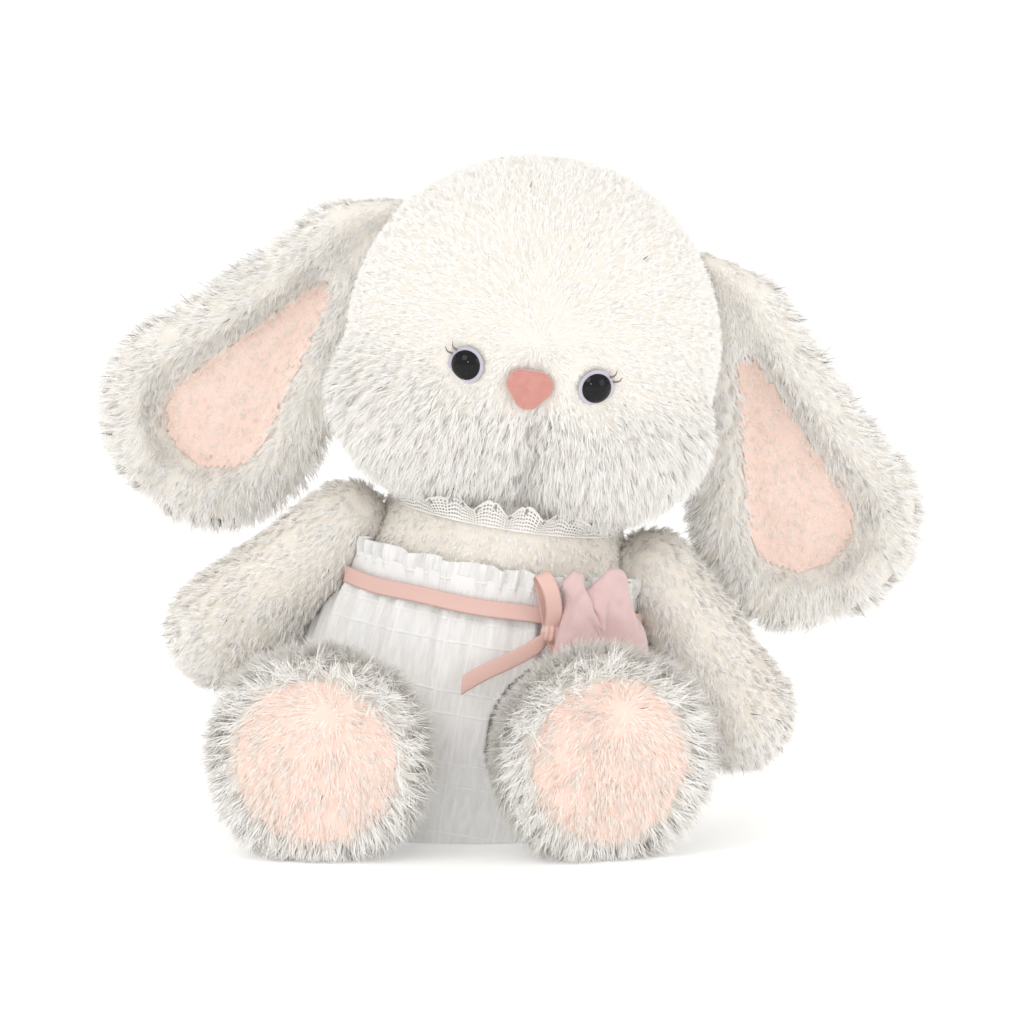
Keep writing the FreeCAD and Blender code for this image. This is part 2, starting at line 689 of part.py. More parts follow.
def tulip_body(name, inset, thickness, rounding, placement):
    """The tulip bloom: a rounded cup under two pointed petals, local +Y up, in its XY plane."""
    half = number("{tulip_width}") / 2 - inset
    petal = size("tulip_petal") - inset
    rise = size("tulip_petal_rise")
    lobe = size("tulip_width") / 2 - size("tulip_petal")
    valley = size("tulip_cup") - inset
    corner = size("tulip_corner") - inset
    body = doc.addObject("PartDesign::Body", name)
    sketch = sketch_in(body, "XY_Plane")
    inner_side = petal * math.cos(PETAL_EDGE)
    inner_up = rise + petal * (math.sin(PETAL_EDGE) - PETAL_DROP)
    midway = 1 - math.sqrt(0.5)
    outline = [
        segment((-half + corner, inset), (half - corner, inset)),
        Part.Arc(
            Vector(half - corner, inset, 0),
            Vector(half - corner * midway, inset + corner * midway, 0),
            Vector(half, inset + corner, 0),
        ),
        segment((half, inset + corner), (lobe + petal, rise)),
        Part.Arc(
            Vector(lobe + petal, rise, 0),
            Vector(lobe, rise + petal, 0),
            Vector(lobe - inner_side, inner_up, 0),
        ),
        segment((lobe - inner_side, inner_up), (0, valley)),
        segment((0, valley), (-lobe + inner_side, inner_up)),
        Part.Arc(
            Vector(-lobe + inner_side, inner_up, 0),
            Vector(-lobe, rise + petal, 0),
            Vector(-lobe - petal, rise, 0),
        ),
        segment((-lobe - petal, rise), (-half, inset + corner)),
        Part.Arc(
            Vector(-half, inset + corner, 0),
            Vector(-half + corner * midway, inset + corner * midway, 0),
            Vector(-half + corner, inset, 0),
        ),
    ]
    sketch.addGeometry(outline, False)
    for first in range(len(outline)):
        sketch.addConstraint(Sketcher.Constraint("Coincident", first, 2, (first + 1) % len(outline), 1))
    for index in range(len(outline)):
        sketch.addConstraint(Sketcher.Constraint("Block", index))
    return padded(body, sketch, thickness, rounding, placement)


tulip_side = size("tulip_side")
TULIP_STAND_OFF = 15.5
TULIP = place(
    LEAN, tulip_side, waist_front(tulip_side, TULIP_STAND_OFF), size("tulip_low"),
    Rotation(Z_AXIS, size("tulip_turn")).multiply(Rotation(X_AXIS, 90)),
)
tulip_skin = tulip_body("tulip_skin", 0, "{tulip_thickness}", "{tulip_rounding}", TULIP)
tulip_filling = tulip_body(
    "tulip_filling", size("velvet_skin"), "{tulip_thickness} - {velvet_skin} - {velvet_skin}",
    "{tulip_rounding} - {velvet_skin}", TULIP,
)
node("tulip_shell", cut("tulip_shell_cut", tulip_skin, tulip_filling))
node("tulip_stuffing", tulip_filling)

# ---------------------------------------------------------------- tail

TAIL = place(LEAN, 0, size("tail_back"), size("tail_level"))
tail_filling = cut(
    "tail_filling", sphere("tail_inner", "{tail_radius} - {plush_skin}", TAIL), shorts_outer
)
tail_ball = sphere("tail_outer", "{tail_radius}", TAIL)
node("tail_shell", cut("tail_shell_cut", tail_ball, tail_filling, shorts_outer))
node("tail_stuffing", tail_filling)

# ---------------------------------------------------------------- neck

lace_outer = cylinder(
    "lace_outer", "{lace_radius} + {lace_thickness}", "{lace_height}", place(LEAN, 0, 0, size("lace_low"))
)
lace_inner = cylinder("lace_inner", "{lace_radius}", "{lace_height}", place(LEAN, 0, 0, size("lace_low")))
node("neck_lace", cut("neck_lace_cut", lace_outer, lace_inner))
thread = doc.addObject("Part::Torus", "gathering_thread")
bind(thread, Radius1="{thread_ring}", Radius2="{thread_radius}")
thread.Placement = place(LEAN, 0, 0, size("thread_level"))
node("neck_gathering_thread", thread)

# ---------------------------------------------------------------- head

CHEEKS = place(HEAD, 0, -size("cheek_forward"), -size("cheek_drop"))


def head_form(name, grow):
    """The head: a round skull fused with a lower, forward cheek pad."""
    skull = ellipsoid(
        name + "_skull", "{skull_width}" + grow, "{skull_depth}" + grow, "{skull_height}" + grow, HEAD
    )
    cheeks = ellipsoid(
        name + "_cheeks", "{cheek_width}" + grow, "{cheek_depth}" + grow, "{cheek_height}" + grow, CHEEKS
    )
    return fused(name, skull, cheeks)


def face_frame(side, up):
    """A frame on the skull's face, local +Z outward, local +Y up, at a place seen from the front."""
    wide, deep, high = size("skull_width"), size("skull_depth"), size("skull_height")
    front = -deep * math.sqrt(1 - (side / wide) ** 2 - (up / high) ** 2)
    outward = Vector(side / wide**2, front / deep**2, up / high**2)
    across = Z_AXIS.cross(outward).normalize()
    turn = Rotation(across, outward.cross(across), outward, "ZXY")
    return place(HEAD, side, front, up, turn)


EYES = {side: face_frame(sign * size("eye_spread"), -size("eye_drop")) for side, sign in SIDES}
NOSE = face_frame(0, -size("nose_drop"))


def eye_button(name, placement):
    """A domed eye on a shank, turned about its axis; local +Z outward."""
    radius, dome_height, rim = size("eye_radius"), size("eye_dome"), size("eye_rim")
    shank, depth = size("shank_radius"), size("shank_length")
    rise = dome_height - rim
    dome_radius = (radius**2 + rise**2) / (2 * rise)
    body = doc.addObject("PartDesign::Body", name)
    sketch = sketch_in(body, "XZ_Plane")
    centre = dome_height - dome_radius
    edge_angle = math.asin((rim - centre) / dome_radius)
    sketch.addGeometry(
        [
            arc_of(0, centre, dome_radius, edge_angle, math.pi / 2),
            segment((0, dome_height), (0, -depth)),
            segment((0, -depth), (shank, -depth)),
            segment((shank, -depth), (shank, 0)),
            segment((shank, 0), (radius, 0)),
            segment((radius, 0), (radius, rim)),
        ],
        False,
    )
    constraint = Sketcher.Constraint
    joins = [constraint("Coincident", i, 2, i + 1, 1) for i in range(5)]
    sketch.addConstraint(
        joins
        + [
            constraint("Coincident", 5, 2, 0, 1),
            constraint("PointOnObject", 0, 3, -2),
            constraint("PointOnObject", 1, 1, -2),
            constraint("PointOnObject", 1, 2, -2),
            constraint("Horizontal", 2),
            constraint("Vertical", 3),
            constraint("PointOnObject", 3, 2, -1),
            constraint("PointOnObject", 4, 2, -1),
            constraint("Vertical", 5),
        ]
    )
    dimension(sketch, "DistanceX", "shank", "{shank_radius}", 2, 1, 2, 2, shank)
    dimension(sketch, "DistanceY", "depth", "{shank_length}", 3, 1, 3, 2, depth)
    dimension(sketch, "DistanceX", "radius", "{eye_radius}", -1, 1, 4, 2, radius)
    dimension(sketch, "DistanceY", "rim", "{eye_rim}", 5, 1, 5, 2, rim)
    dimension(sketch, "DistanceY", "dome", "{eye_dome}", -1, 1, 0, 2, dome_height)
    turn = body.newObject("PartDesign::Revolution", name + "_turned")
    turn.Profile = sketch
    turn.ReferenceAxis = (sketch, ["V_Axis"])
    turn.Angle = 360
    body.Placement = placement
    return body


def washer(name, frame):
    """A lock washer pushed up a shank behind the face."""
    depth = -size("washer_depth") - size("washer_thickness")
    return node(name, ring_plate(
        name + "_plate", "{washer_radius}", "{shank_radius}", "{washer_thickness}", place(frame, 0, 0, depth)
    ))


def nose_button(name, placement):
    """A flocked nose: a rounded triangle, wide at its top, with its own shank behind."""
    corner = size("nose_corner")
    top = (size("nose_width") / 2 - corner, size("nose_height") / 2 - corner)
    low = (0, -size("nose_height") / 2 + corner)
    centres = [low, top, (-top[0], top[1])]
    body = doc.addObject("PartDesign::Body", name)
    sketch = sketch_in(body, "XY_Plane")
    geometry = []
    for index in range(3):
        before, here, after = centres[index - 1], centres[index], centres[(index + 1) % 3]
        into = math.atan2(here[1] - before[1], here[0] - before[0]) - math.pi / 2
        out = math.atan2(after[1] - here[1], after[0] - here[0]) - math.pi / 2
        geometry.append(arc_of(*here, corner, into, out))
        start = (here[0] + corner * math.cos(out), here[1] + corner * math.sin(out))
        end = (after[0] + corner * math.cos(out), after[1] + corner * math.sin(out))
        geometry.append(segment(start, end))
    sketch.addGeometry(geometry, False)
    for index in range(6):
        sketch.addConstraint(Sketcher.Constraint("Coincident", index, 2, (index + 1) % 6, 1))
    for index in range(6):
        sketch.addConstraint(Sketcher.Constraint("Block", index))
    pad = body.newObject("PartDesign::Pad", name + "_pad")
    pad.Profile = sketch
    bind(pad, Length="{nose_thickness}")
    doc.recompute()
    front = [
        f"Edge{index}"
        for index, edge in enumerate(pad.Shape.Edges, start=1)
        if edge.BoundBox.ZMin > size("nose_thickness") - 1e-6
    ]
    fillet = body.newObject("PartDesign::Fillet", name + "_edge")
    fillet.Base = (pad, front)
    bind(fillet, Radius="{nose_edge}")
    doc.recompute()
    stem = body.newObject("Sketcher::SketchObject", name + "_stem_sketch")
    planes = [f for f in body.Origin.OriginFeatures if f.Role == "XY_Plane"]
    stem.AttachmentSupport = [(planes[0], "")]
    stem.MapMode = "FlatFace"
    stem.addGeometry(Part.Circle(Vector(0, 0, 0), Z_AXIS, size("shank_radius")), False)
    stem.addConstraint(Sketcher.Constraint("Coincident", 0, 3, -1, 1))
    dimension(stem, "Radius", "stem", "{shank_radius}", 0, size("shank_radius"))
    shank = body.newObject("PartDesign::Pad", name + "_shank")
    shank.Profile = stem
    shank.Reversed = True
    bind(shank, Length="{shank_length}")
    body.Placement = placement
    return body


# Each lash's root sideways and up from the middle of its eye, and its angle above level.
LASHES = ((8.2, 5.4, 48), (6.2, 7.4, 66))

RING_BED = 0.05

head_tools = []
ring_rooms = []
washers = []
for side, sign in SIDES:
    eye = node(f"eye_{side}", eye_button(f"eye_{side}_button", EYES[side]))
    head_tools.append(eye)
    washers.append(washer(f"eye_washer_{side}", EYES[side]))
    node(f"eye_ring_{side}", ring_plate(
        f"eye_ring_{side}_plate", "{ring_radius}", "{eye_radius} + {ring_gap}", "{ring_thickness}",
        place(EYES[side], 0, 0, 0),
    ))
    bed = place(EYES[side], 0, 0, -RING_BED)
    ring_rooms.append(cylinder(f"eye_ring_{side}_room", "{ring_radius} + {ring_gap}", "{eye_dome}", bed))
    lashes = []
    for index, (out, up, angle) in enumerate(LASHES):
        root = place(EYES[side], sign * out, up, 0.5, Rotation(Y_AXIS, 90))
        lay = Rotation(X_AXIS, -angle if sign > 0 else angle - 180)
        lashes.append(cylinder(
            f"lash_{side}_{index}", "{lash_radius}", "{lash_length}", root.multiply(Placement(Vector(), lay))
        ))
    group = doc.addObject("Part::Compound", f"lashes_{side}_group")
    group.Links = lashes
    node(f"lashes_{side}", group)

nose = node("nose", nose_button("nose_button", NOSE))
head_tools.append(nose)
washers.append(washer("nose_washer", NOSE))
head_socket = dome("head_socket", "{neck_radius} + {fit_gap}")
head_lined_socket = dome("head_lined_socket", "{neck_radius} + {fit_gap} + {plush_skin}")
head_filling = cut("head_filling", head_form("head_inner", " - {plush_skin}"), head_lined_socket)
node("head_shell", cut(
    "head_shell_cut", head_form("head_outer", ""), head_filling, head_socket, *head_tools, *ring_rooms
))
node("head_stuffing", cut("head_stuffing_cut", head_filling, *head_tools, *washers))

# ---------------------------------------------------------------- ears

head_room = head_form("head_room", " + {fit_gap}")
for side, sign in SIDES:
    hang = (
        Rotation(Y_AXIS, -sign * size("ear_splay"))
        .multiply(Rotation(X_AXIS, size("ear_sweep")))
        .multiply(Rotation(X_AXIS, -90))
    )
    root = place(HEAD, sign * size("ear_root_out"), size("ear_root_back"), size("ear_root_up"), hang)
    tip_offset = size("ear_length") - size("lining_length")
    half = size("ear_thickness") / 2
    lining_place = place(root, 0, tip_offset, -half + size("lining_thickness") / 2)
    pad = teardrop_pad(
        f"ear_{side}_pad", "{ear_root_radius}", "{ear_tip_radius}", "{ear_length}",
        "{ear_thickness}", "{ear_rounding}", root,
    )
    lining = teardrop_pad(
        f"ear_{side}_lining_pad", "{lining_root_radius}", "{lining_tip_radius}", "{lining_length}",
        "{lining_thickness}", None, lining_place,
    )
    wadding = cut(
        f"ear_{side}_wadding_cut",
        teardrop_pad(
            f"ear_{side}_wadding_pad", "{ear_root_radius} - {wadding_inset}",
            "{ear_tip_radius} - {wadding_inset}", "{ear_length}", "{wadding_thickness}", None,
            place(root, 0, 0, size("wadding_back")),
        ),
        head_form(f"ear_{side}_wadding_room", " + {plush_skin} + {fit_gap}"),
    )
    node(f"ear_{side}_shell", cut(f"ear_{side}_shell_cut", pad, wadding, lining, head_room))
    node(f"ear_{side}_lining", lining)
    node(f"ear_{side}_wadding", wadding)

# ---------------------------------------------------------------- arms

for side, sign in SIDES:
    skin = revolved_limb(
        f"arm_{side}_skin", "{shoulder_radius}", "{paw_radius}", "{arm_length}", ARMS[side]
    )
    filling = revolved_limb(
        f"arm_{side}_filling", "{shoulder_radius} - {plush_skin}", "{paw_radius} - {plush_skin}",
        "{arm_length}", ARMS[side],
    )
    node(f"arm_{side}_shell", cut(f"arm_{side}_shell_cut", skin, filling))
    node(f"arm_{side}_stuffing", filling)

# ---------------------------------------------------------------- check and write

doc.recompute()
for obj in doc.Objects:
    if "Invalid" in obj.State or "Error" in obj.State:
        raise RuntimeError(f"{obj.Label} failed: {obj.State}")
os.makedirs("parts", exist_ok=True)
for name, obj in nodes.items():
    shape = obj.Shape
    if shape.isNull() or not shape.isValid() or not shape.Solids:
        raise RuntimeError(f"{name} has no valid solid")
for name, obj in nodes.items():
    obj.Shape.exportStep(f"parts/{name}.step")
    solids = len(obj.Shape.Solids)
    print(f"{name}: {solids} solid(s), {obj.Shape.Volume:.0f} mm3, {obj.Shape.BoundBox}")
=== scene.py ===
import json
import math

import bpy
import numpy as np
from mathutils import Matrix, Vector


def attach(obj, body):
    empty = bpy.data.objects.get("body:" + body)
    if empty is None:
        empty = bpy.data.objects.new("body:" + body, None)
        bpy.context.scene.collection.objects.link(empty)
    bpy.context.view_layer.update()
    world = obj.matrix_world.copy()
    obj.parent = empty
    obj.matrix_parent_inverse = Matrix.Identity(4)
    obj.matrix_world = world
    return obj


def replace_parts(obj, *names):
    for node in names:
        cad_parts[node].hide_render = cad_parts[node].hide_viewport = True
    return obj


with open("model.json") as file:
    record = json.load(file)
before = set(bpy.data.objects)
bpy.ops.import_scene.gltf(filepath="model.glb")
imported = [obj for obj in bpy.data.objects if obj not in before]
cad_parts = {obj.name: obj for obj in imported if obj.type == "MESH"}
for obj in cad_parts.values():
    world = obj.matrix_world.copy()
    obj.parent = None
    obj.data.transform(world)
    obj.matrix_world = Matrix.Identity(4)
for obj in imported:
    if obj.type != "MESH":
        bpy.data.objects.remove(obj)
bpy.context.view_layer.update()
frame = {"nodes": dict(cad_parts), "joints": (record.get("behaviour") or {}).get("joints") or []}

# Seated plush rabbit. Shapes are worked out in millimetres in the row's frame,
# and become metres in make_mesh.

MM = 0.001
SIDES = (("left", 1), ("right", -1))
DENSITY = 1.0
rng = np.random.default_rng(853)

# ---------------- places, from the frame's joints


def about(axis, degrees):
    """A rotation matrix about one of the frame's axes."""
    c, s = math.cos(math.radians(degrees)), math.sin(math.radians(degrees))
    if axis == "x":
        return np.array([[1, 0, 0], [0, c, -s], [0, s, c]])
    if axis == "y":
        return np.array([[c, 0, s], [0, 1, 0], [-s, 0, c]])
    return np.array([[c, -s, 0], [s, c, 0], [0, 0, 1]])


class Place:
    """A local frame: where it is and how it is turned."""

    def __init__(self, origin, turn):
        self.origin = np.array(origin, float)
        self.turn = turn

    def out(self, points):
        return np.asarray(points, float) @ self.turn.T + self.origin

    def aim(self, vectors):
        return np.asarray(vectors, float) @ self.turn.T

    def back(self, points):
        return (np.asarray(points, float) - self.origin) @ self.turn


PIVOT = {joint["name"]: np.array(joint["pos_m"]) / MM for joint in frame["joints"]}
LEAN = math.degrees(math.atan2(PIVOT["neck_tilt"][0], PIVOT["neck_tilt"][2]))
HEAD_TILT = 1.0
HEAD_LEVEL = 211
ARM_SPLAY = 39.4
EAR_SPLAY = 29.2
EAR_SWEEP = 6
EAR_ROOT = (72, 13, 38)
LEG_YAW = {"left": 19, "right": 9}

BODY = Place((0, 0, 0), about("y", LEAN))
HEAD = Place(BODY.out((0, 0, HEAD_LEVEL)), about("y", LEAN + HEAD_TILT))
ARM = {
    side: Place(PIVOT[f"arm_{side}_raise"], about("y", LEAN + 180 - sign * ARM_SPLAY))
    for side, sign in SIDES
}
LEG = {
    side: Place(PIVOT[f"leg_{side}_splay"], about("z", sign * LEG_YAW[side]) @ about("x", 90))
    for side, sign in SIDES
}
EAR = {
    side: Place(
        HEAD.out((sign * EAR_ROOT[0], *EAR_ROOT[1:])),
        HEAD.turn @ about("y", -sign * EAR_SPLAY) @ about("x", EAR_SWEEP - 90),
    )
    for side, sign in SIDES
}

# ---------------- small numeric helpers


def smooth(low, high, value):
    """A smooth step from 0 at low to 1 at high; low may be the larger."""
    t = np.clip((value - low) / (high - low), 0, 1)
    return t * t * (3 - 2 * t)


def unit(vectors):
    return vectors / np.maximum(np.linalg.norm(vectors, axis=-1, keepdims=True), 1e-9)


def tangent(vectors, normals):
    """The part of each vector that lies along the surface, at unit length."""
    return unit(vectors - normals * np.sum(vectors * normals, axis=-1, keepdims=True))


def lumps(points, size, depth, seed):
    """Gentle unevenness, as filling gives a soft toy: a sum of waves about size apart."""
    waves = np.random.default_rng(seed)
    total = np.zeros(points.shape[:-1])
    for _ in range(7):
        direction = unit(waves.normal(size=3)) * 2 * math.pi / (size * waves.uniform(0.7, 1.6))
        total += np.sin(points @ direction + waves.uniform(0, 2 * math.pi))
    return total * depth / 3.5


# ---------------- surfaces


class Skin:
    """A surface made of rings of points: rings by segments by 3, joined round each ring."""

    def __init__(self, rings, ends=(True, True)):
        count, around = rings.shape[:2]
        points = [rings.reshape(-1, 3)]
        near = np.arange(count * around).reshape(count, around)
        following = np.roll(near, -1, axis=1)
        quads = np.stack([near[:-1], following[:-1], following[1:], near[1:]], -1).reshape(-1, 4)
        fans = []
        for closed, row, flip in ((ends[0], 0, True), (ends[1], count - 1, False)):
            if closed:
                hub = sum(len(p) for p in points)
                points.append(rings[row].mean(0)[None])
                ring, after = near[row], following[row]
                pair = (after, ring) if flip else (ring, after)
                fans.append(np.stack([pair[0], pair[1], np.full_like(ring, hub)], -1))
        self.points = np.concatenate(points)
        self.quads = quads
        self.fans = np.concatenate(fans) if fans else np.zeros((0, 3), int)
        self.triangles = np.concatenate([quads[:, [0, 1, 2]], quads[:, [0, 2, 3]], self.fans])
        self.measure()

    def measure(self):
        """Work out normals, and turn the surface's faces outward."""
        a, b, c = (self.points[self.triangles[:, k]] for k in range(3))
        cross = np.cross(b - a, c - a)
        if len(self.fans) and np.sum(cross * ((a + b + c) / 3 - self.points.mean(0))) < 0:
            self.triangles = self.triangles[:, ::-1]
            self.quads = self.quads[:, ::-1]
            self.fans = self.fans[:, ::-1]
            cross = -cross
        self.areas = np.linalg.norm(cross, axis=1) / 2
        normals = np.zeros_like(self.points)
        for k in range(3):
            np.add.at(normals, self.triangles[:, k], cross)
        self.normals = unit(normals)

    def faces(self):
        return [list(map(int, f)) for f in self.quads] + [list(map(int, f)) for f in self.fans]


def put(name, data):
    """An object in the scene for a mesh, lamp or camera."""
    thing = bpy.data.objects.new(name, data)
    bpy.context.scene.collection.objects.link(thing)
    return thing


def plain_mesh(name, points, faces):
    """A smooth-shaded mesh from points in the scene's units."""
    mesh = bpy.data.meshes.new(name)
    mesh.from_pydata(points.tolist(), [], faces)
    mesh.polygons.foreach_set("use_smooth", np.ones(len(mesh.polygons), bool))
    mesh.update()
    return mesh


def make_mesh(name, points, faces, material, body):
    """A smooth-shaded piece from millimetre points, riding on a body."""
    mesh = plain_mesh(name, points * MM, faces)
    mesh.materials.append(material)
    piece = put(name, mesh)
    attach(piece, body)
    return piece


def skin_piece(name, skin, plush, body, *nodes):
    """A padded plush skin that stands for its CAD nodes."""
    piece = make_mesh(name, skin.points, skin.faces(), BACKINGS[plush], body)
    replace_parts(piece, *nodes)
    return piece


# ---------------- materials


def principled(name, roughness, sheen=0.0, specular=0.3):
    material = bpy.data.materials.new(name)
    material.use_nodes = True
    shader = material.node_tree.nodes["Principled BSDF"]
    shader.inputs["Roughness"].default_value = roughness
    shader.inputs["Sheen Weight"].default_value = sheen
    shader.inputs["Sheen Roughness"].default_value = 0.5
    shader.inputs["Specular IOR Level"].default_value = specular
    return material, shader


def add_node(material, kind, **values):
    node = material.node_tree.nodes.new(kind)
    for key, value in values.items():
        if key in node.inputs:
            node.inputs[key].default_value = value
        else:
            setattr(node, key, value)
    return node


def math_node(material, operation, *sources):
    """A math node's result; each source is a socket to link or a constant."""
    node = add_node(material, "ShaderNodeMath", operation=operation)
    for entry, source in zip(node.inputs, sources):
        if isinstance(source, bpy.types.NodeSocket):
            material.node_tree.links.new(source, entry)
        else:
            entry.default_value = source
    return node.outputs[0]


def colour_ramp(material, start, first, end, last):
    """A ramp that runs from one colour at start to another at end."""
    ramp = add_node(material, "ShaderNodeValToRGB")
    for element, position, tone in zip(ramp.color_ramp.elements, (start, end), (first, last)):
        element.position = position
        element.color = (*tone, 1)
    return ramp


def dress(material, shader, factor, ramp, height, bump):
    """Colour a shader by one socket through a ramp, and raise it by another through a bump."""
    link = material.node_tree.links.new
    link(factor, ramp.inputs["Fac"])
    link(ramp.outputs["Color"], shader.inputs["Base Color"])
    link(height, bump.inputs["Height"])
    link(bump.outputs["Normal"], shader.inputs["Normal"])


def cloth(name, colour, shade, grain, depth, roughness=0.85, sheen=0.3, specular=0.2):
    """A fabric whose colour drifts from colour to shade, with a fine grain in its bump.

    grain is the number of grains per metre.
    """
    material, shader = principled(name, roughness, sheen, specular=specular)
    link = material.node_tree.links.new
    place = add_node(material, "ShaderNodeTexCoord").outputs["Object"]
    drift = add_node(material, "ShaderNodeTexNoise", Scale=grain / 12, Detail=4.0)
    fine = add_node(material, "ShaderNodeTexNoise", Scale=grain, Detail=3.0, Roughness=0.7)
    link(place, drift.inputs["Vector"])
    link(place, fine.inputs["Vector"])
    fine_share = math_node(material, "MULTIPLY", fine.outputs["Fac"], 0.45)
    blend = math_node(material, "MULTIPLY_ADD", drift.outputs["Fac"], 0.55, fine_share)
    ramp = colour_ramp(material, 0.3, shade, 0.7, colour)
    bump = add_node(material, "ShaderNodeBump", Strength=0.6, Distance=depth)
    dress(material, shader, blend, ramp, fine.outputs["Fac"], bump)
    return material


def strand_materials(name, tints):
    """One plain fibre material for each tint of a fur."""
    made = []
    for index, tint in enumerate(tints):
        material, shader = principled(f"{name}_fibre_{index}", 0.8, specular=0.2)
        shader.inputs["Base Color"].default_value = (*tint, 1)
        made.append(material)
    return made


WHITE_TINTS = ((0.975, 0.96, 0.93), (0.985, 0.975, 0.95), (0.95, 0.92, 0.875), (0.985, 0.98, 0.965))
CREAM_TINTS = ((0.972, 0.95, 0.912), (0.98, 0.963, 0.935), (0.945, 0.91, 0.86), (0.985, 0.972, 0.95))
PEACH_TINTS = ((0.99, 0.88, 0.81), (0.99, 0.915, 0.86), (0.985, 0.83, 0.745), (0.99, 0.94, 0.90))

FIBRES = {
    "white": strand_materials("white", WHITE_TINTS),
    "cream": strand_materials("cream", CREAM_TINTS),
    "peach": strand_materials("peach", PEACH_TINTS),
}
BACKINGS = {
    "white": cloth("white_backing", (0.86, 0.83, 0.77), (0.78, 0.73, 0.66), 900, 0.0006, sheen=0.1),
    "cream": cloth("cream_backing", (0.85, 0.81, 0.74), (0.77, 0.71, 0.63), 900, 0.0006, sheen=0.1),
    "peach": cloth("peach_backing", (0.94, 0.76, 0.68), (0.88, 0.66, 0.57), 900, 0.0006, sheen=0.1),
}

# ---------------- fur

TUFT = 9
MOST_STRANDS = 60000
FLOOR_CLEARANCE = 0.35


FIBRE_WIDTH = 0.33
TINT_MIX = (0.45, 0.3, 0.1, 0.15)


def fur(name, skin, body, plush, density, length, comb, lay, weight, spread=1.3, clump=0.6):
    """Grow pile on a skin as real tapered fibres, gathered in tufts.

    density is fibres per square millimetre. comb is a direction for each point of the skin. length in
    millimetres, lay in degrees from upright, weight as a share of the density and clump as how far tips
    gather are one number, or one for each point.
    """
    triangles, materials = skin.triangles, FIBRES[plush]
    share = skin.areas * np.broadcast_to(weight, len(skin.points))[triangles].mean(1)
    tufts = int(share.sum() * density * DENSITY / TUFT)
    chosen = np.searchsorted(np.cumsum(share), rng.uniform(0, share.sum(), tufts))
    corner = rng.uniform(size=(tufts, 2))
    corner = np.where(corner.sum(1, keepdims=True) > 1, 1 - corner, corner)
    mix = np.concatenate([1 - corner.sum(1, keepdims=True), corner], 1)

    def at_tufts(values):
        if np.ndim(values) == 0:
            return np.full(tufts, float(values))
        return np.einsum("tk,tk...->t...", mix, values[triangles[chosen]])

    centre = at_tufts(skin.points)
    normal = unit(at_tufts(skin.normals))
    flow = tangent(at_tufts(comb) + rng.normal(scale=0.22, size=(tufts, 3)), normal)
    reach = at_tufts(length) * rng.uniform(0.8, 1.15, tufts)
    angle = np.radians(at_tufts(lay) + rng.normal(scale=7, size=tufts))
    tint = rng.choice(len(materials), tufts, p=TINT_MIX)
    gather = at_tufts(clump)

    each = np.repeat(np.arange(tufts), TUFT)
    count = len(each)
    offset = tangent(rng.normal(size=(count, 3)), normal[each])
    offset *= (spread * np.sqrt(rng.uniform(size=count)))[:, None]
    root = centre[each] + offset - normal[each] * 0.3
    size = reach[each] * rng.uniform(0.65, 1.1, count)
    stray = rng.normal(scale=0.13, size=(count, 3))
    low = angle[each] * 0.75
    high = angle[each] * 1.12
    lower = unit(normal[each] * np.cos(low)[:, None] + flow[each] * np.sin(low)[:, None] + stray)
    upper = unit(normal[each] * np.cos(high)[:, None] + flow[each] * np.sin(high)[:, None] + stray * 1.6)
    pull = offset * gather[each][:, None]
    middle = root + lower * (size * 0.5)[:, None] - pull * 0.4
    tip = root + (lower + upper) * (size * 0.5)[:, None] - pull
    across = unit(np.cross(lower, normal[each] + rng.normal(scale=0.2, size=(count, 3))))
    half = across * (FIBRE_WIDTH * rng.uniform(0.35, 0.6, count))[:, None]
    points = np.stack([root - half, root + half, middle + half * 0.8, middle - half * 0.8, tip], 1)
    points[..., 2] = np.maximum(points[..., 2], FLOOR_CLEARANCE)
    face = unit(np.cross(across, lower))
    face *= np.sign(np.sum(face * normal[each], -1, keepdims=True) + 1e-9)
    shading = unit(normal[each] * 0.5 + face * 0.6 + rng.normal(scale=0.08, size=(count, 3)))
    alike = rng.uniform(size=count) < 0.7
    fibre_tint = np.where(alike, tint[each], rng.choice(len(materials), count, p=TINT_MIX))

    for number, start in enumerate(range(0, count, MOST_STRANDS)):
        part = slice(start, start + MOST_STRANDS)
        mesh = fibre_mesh(f"{name}_{number}", points[part], shading[part], fibre_tint[part], materials)
        piece = put(mesh.name, mesh)
        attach(piece, body)


def fibre_mesh(name, points, shading, tints, materials):
    """One mesh of fibres: a quad and a pointed triangle each, shaded as the pile's surface."""
    count = len(points)
    corners = np.array([0, 1, 2, 3, 3, 2, 4])
    loops = (np.arange(count)[:, None] * 5 + corners).ravel()
    starts = (np.arange(count)[:, None] * 7 + np.array([0, 4])).ravel()
    mesh = bpy.data.meshes.new(name)
    mesh.vertices.add(count * 5)
    mesh.vertices.foreach_set("co", (points * MM).astype(np.float32).ravel())
    mesh.loops.add(len(loops))
    mesh.loops.foreach_set("vertex_index", loops.astype(np.int32))
    mesh.polygons.add(len(starts))
    mesh.polygons.foreach_set("loop_start", starts.astype(np.int32))
    mesh.polygons.foreach_set("material_index", np.repeat(tints, 2).astype(np.int32))
    mesh.update(calc_edges=True)
    mesh.polygons.foreach_set("use_smooth", np.ones(len(starts), bool))
    mesh.normals_split_custom_set_from_vertices(np.repeat(shading, 5, axis=0).astype(np.float32))
    for material in materials:
        mesh.materials.append(material)
    return mesh


# ---------------- head

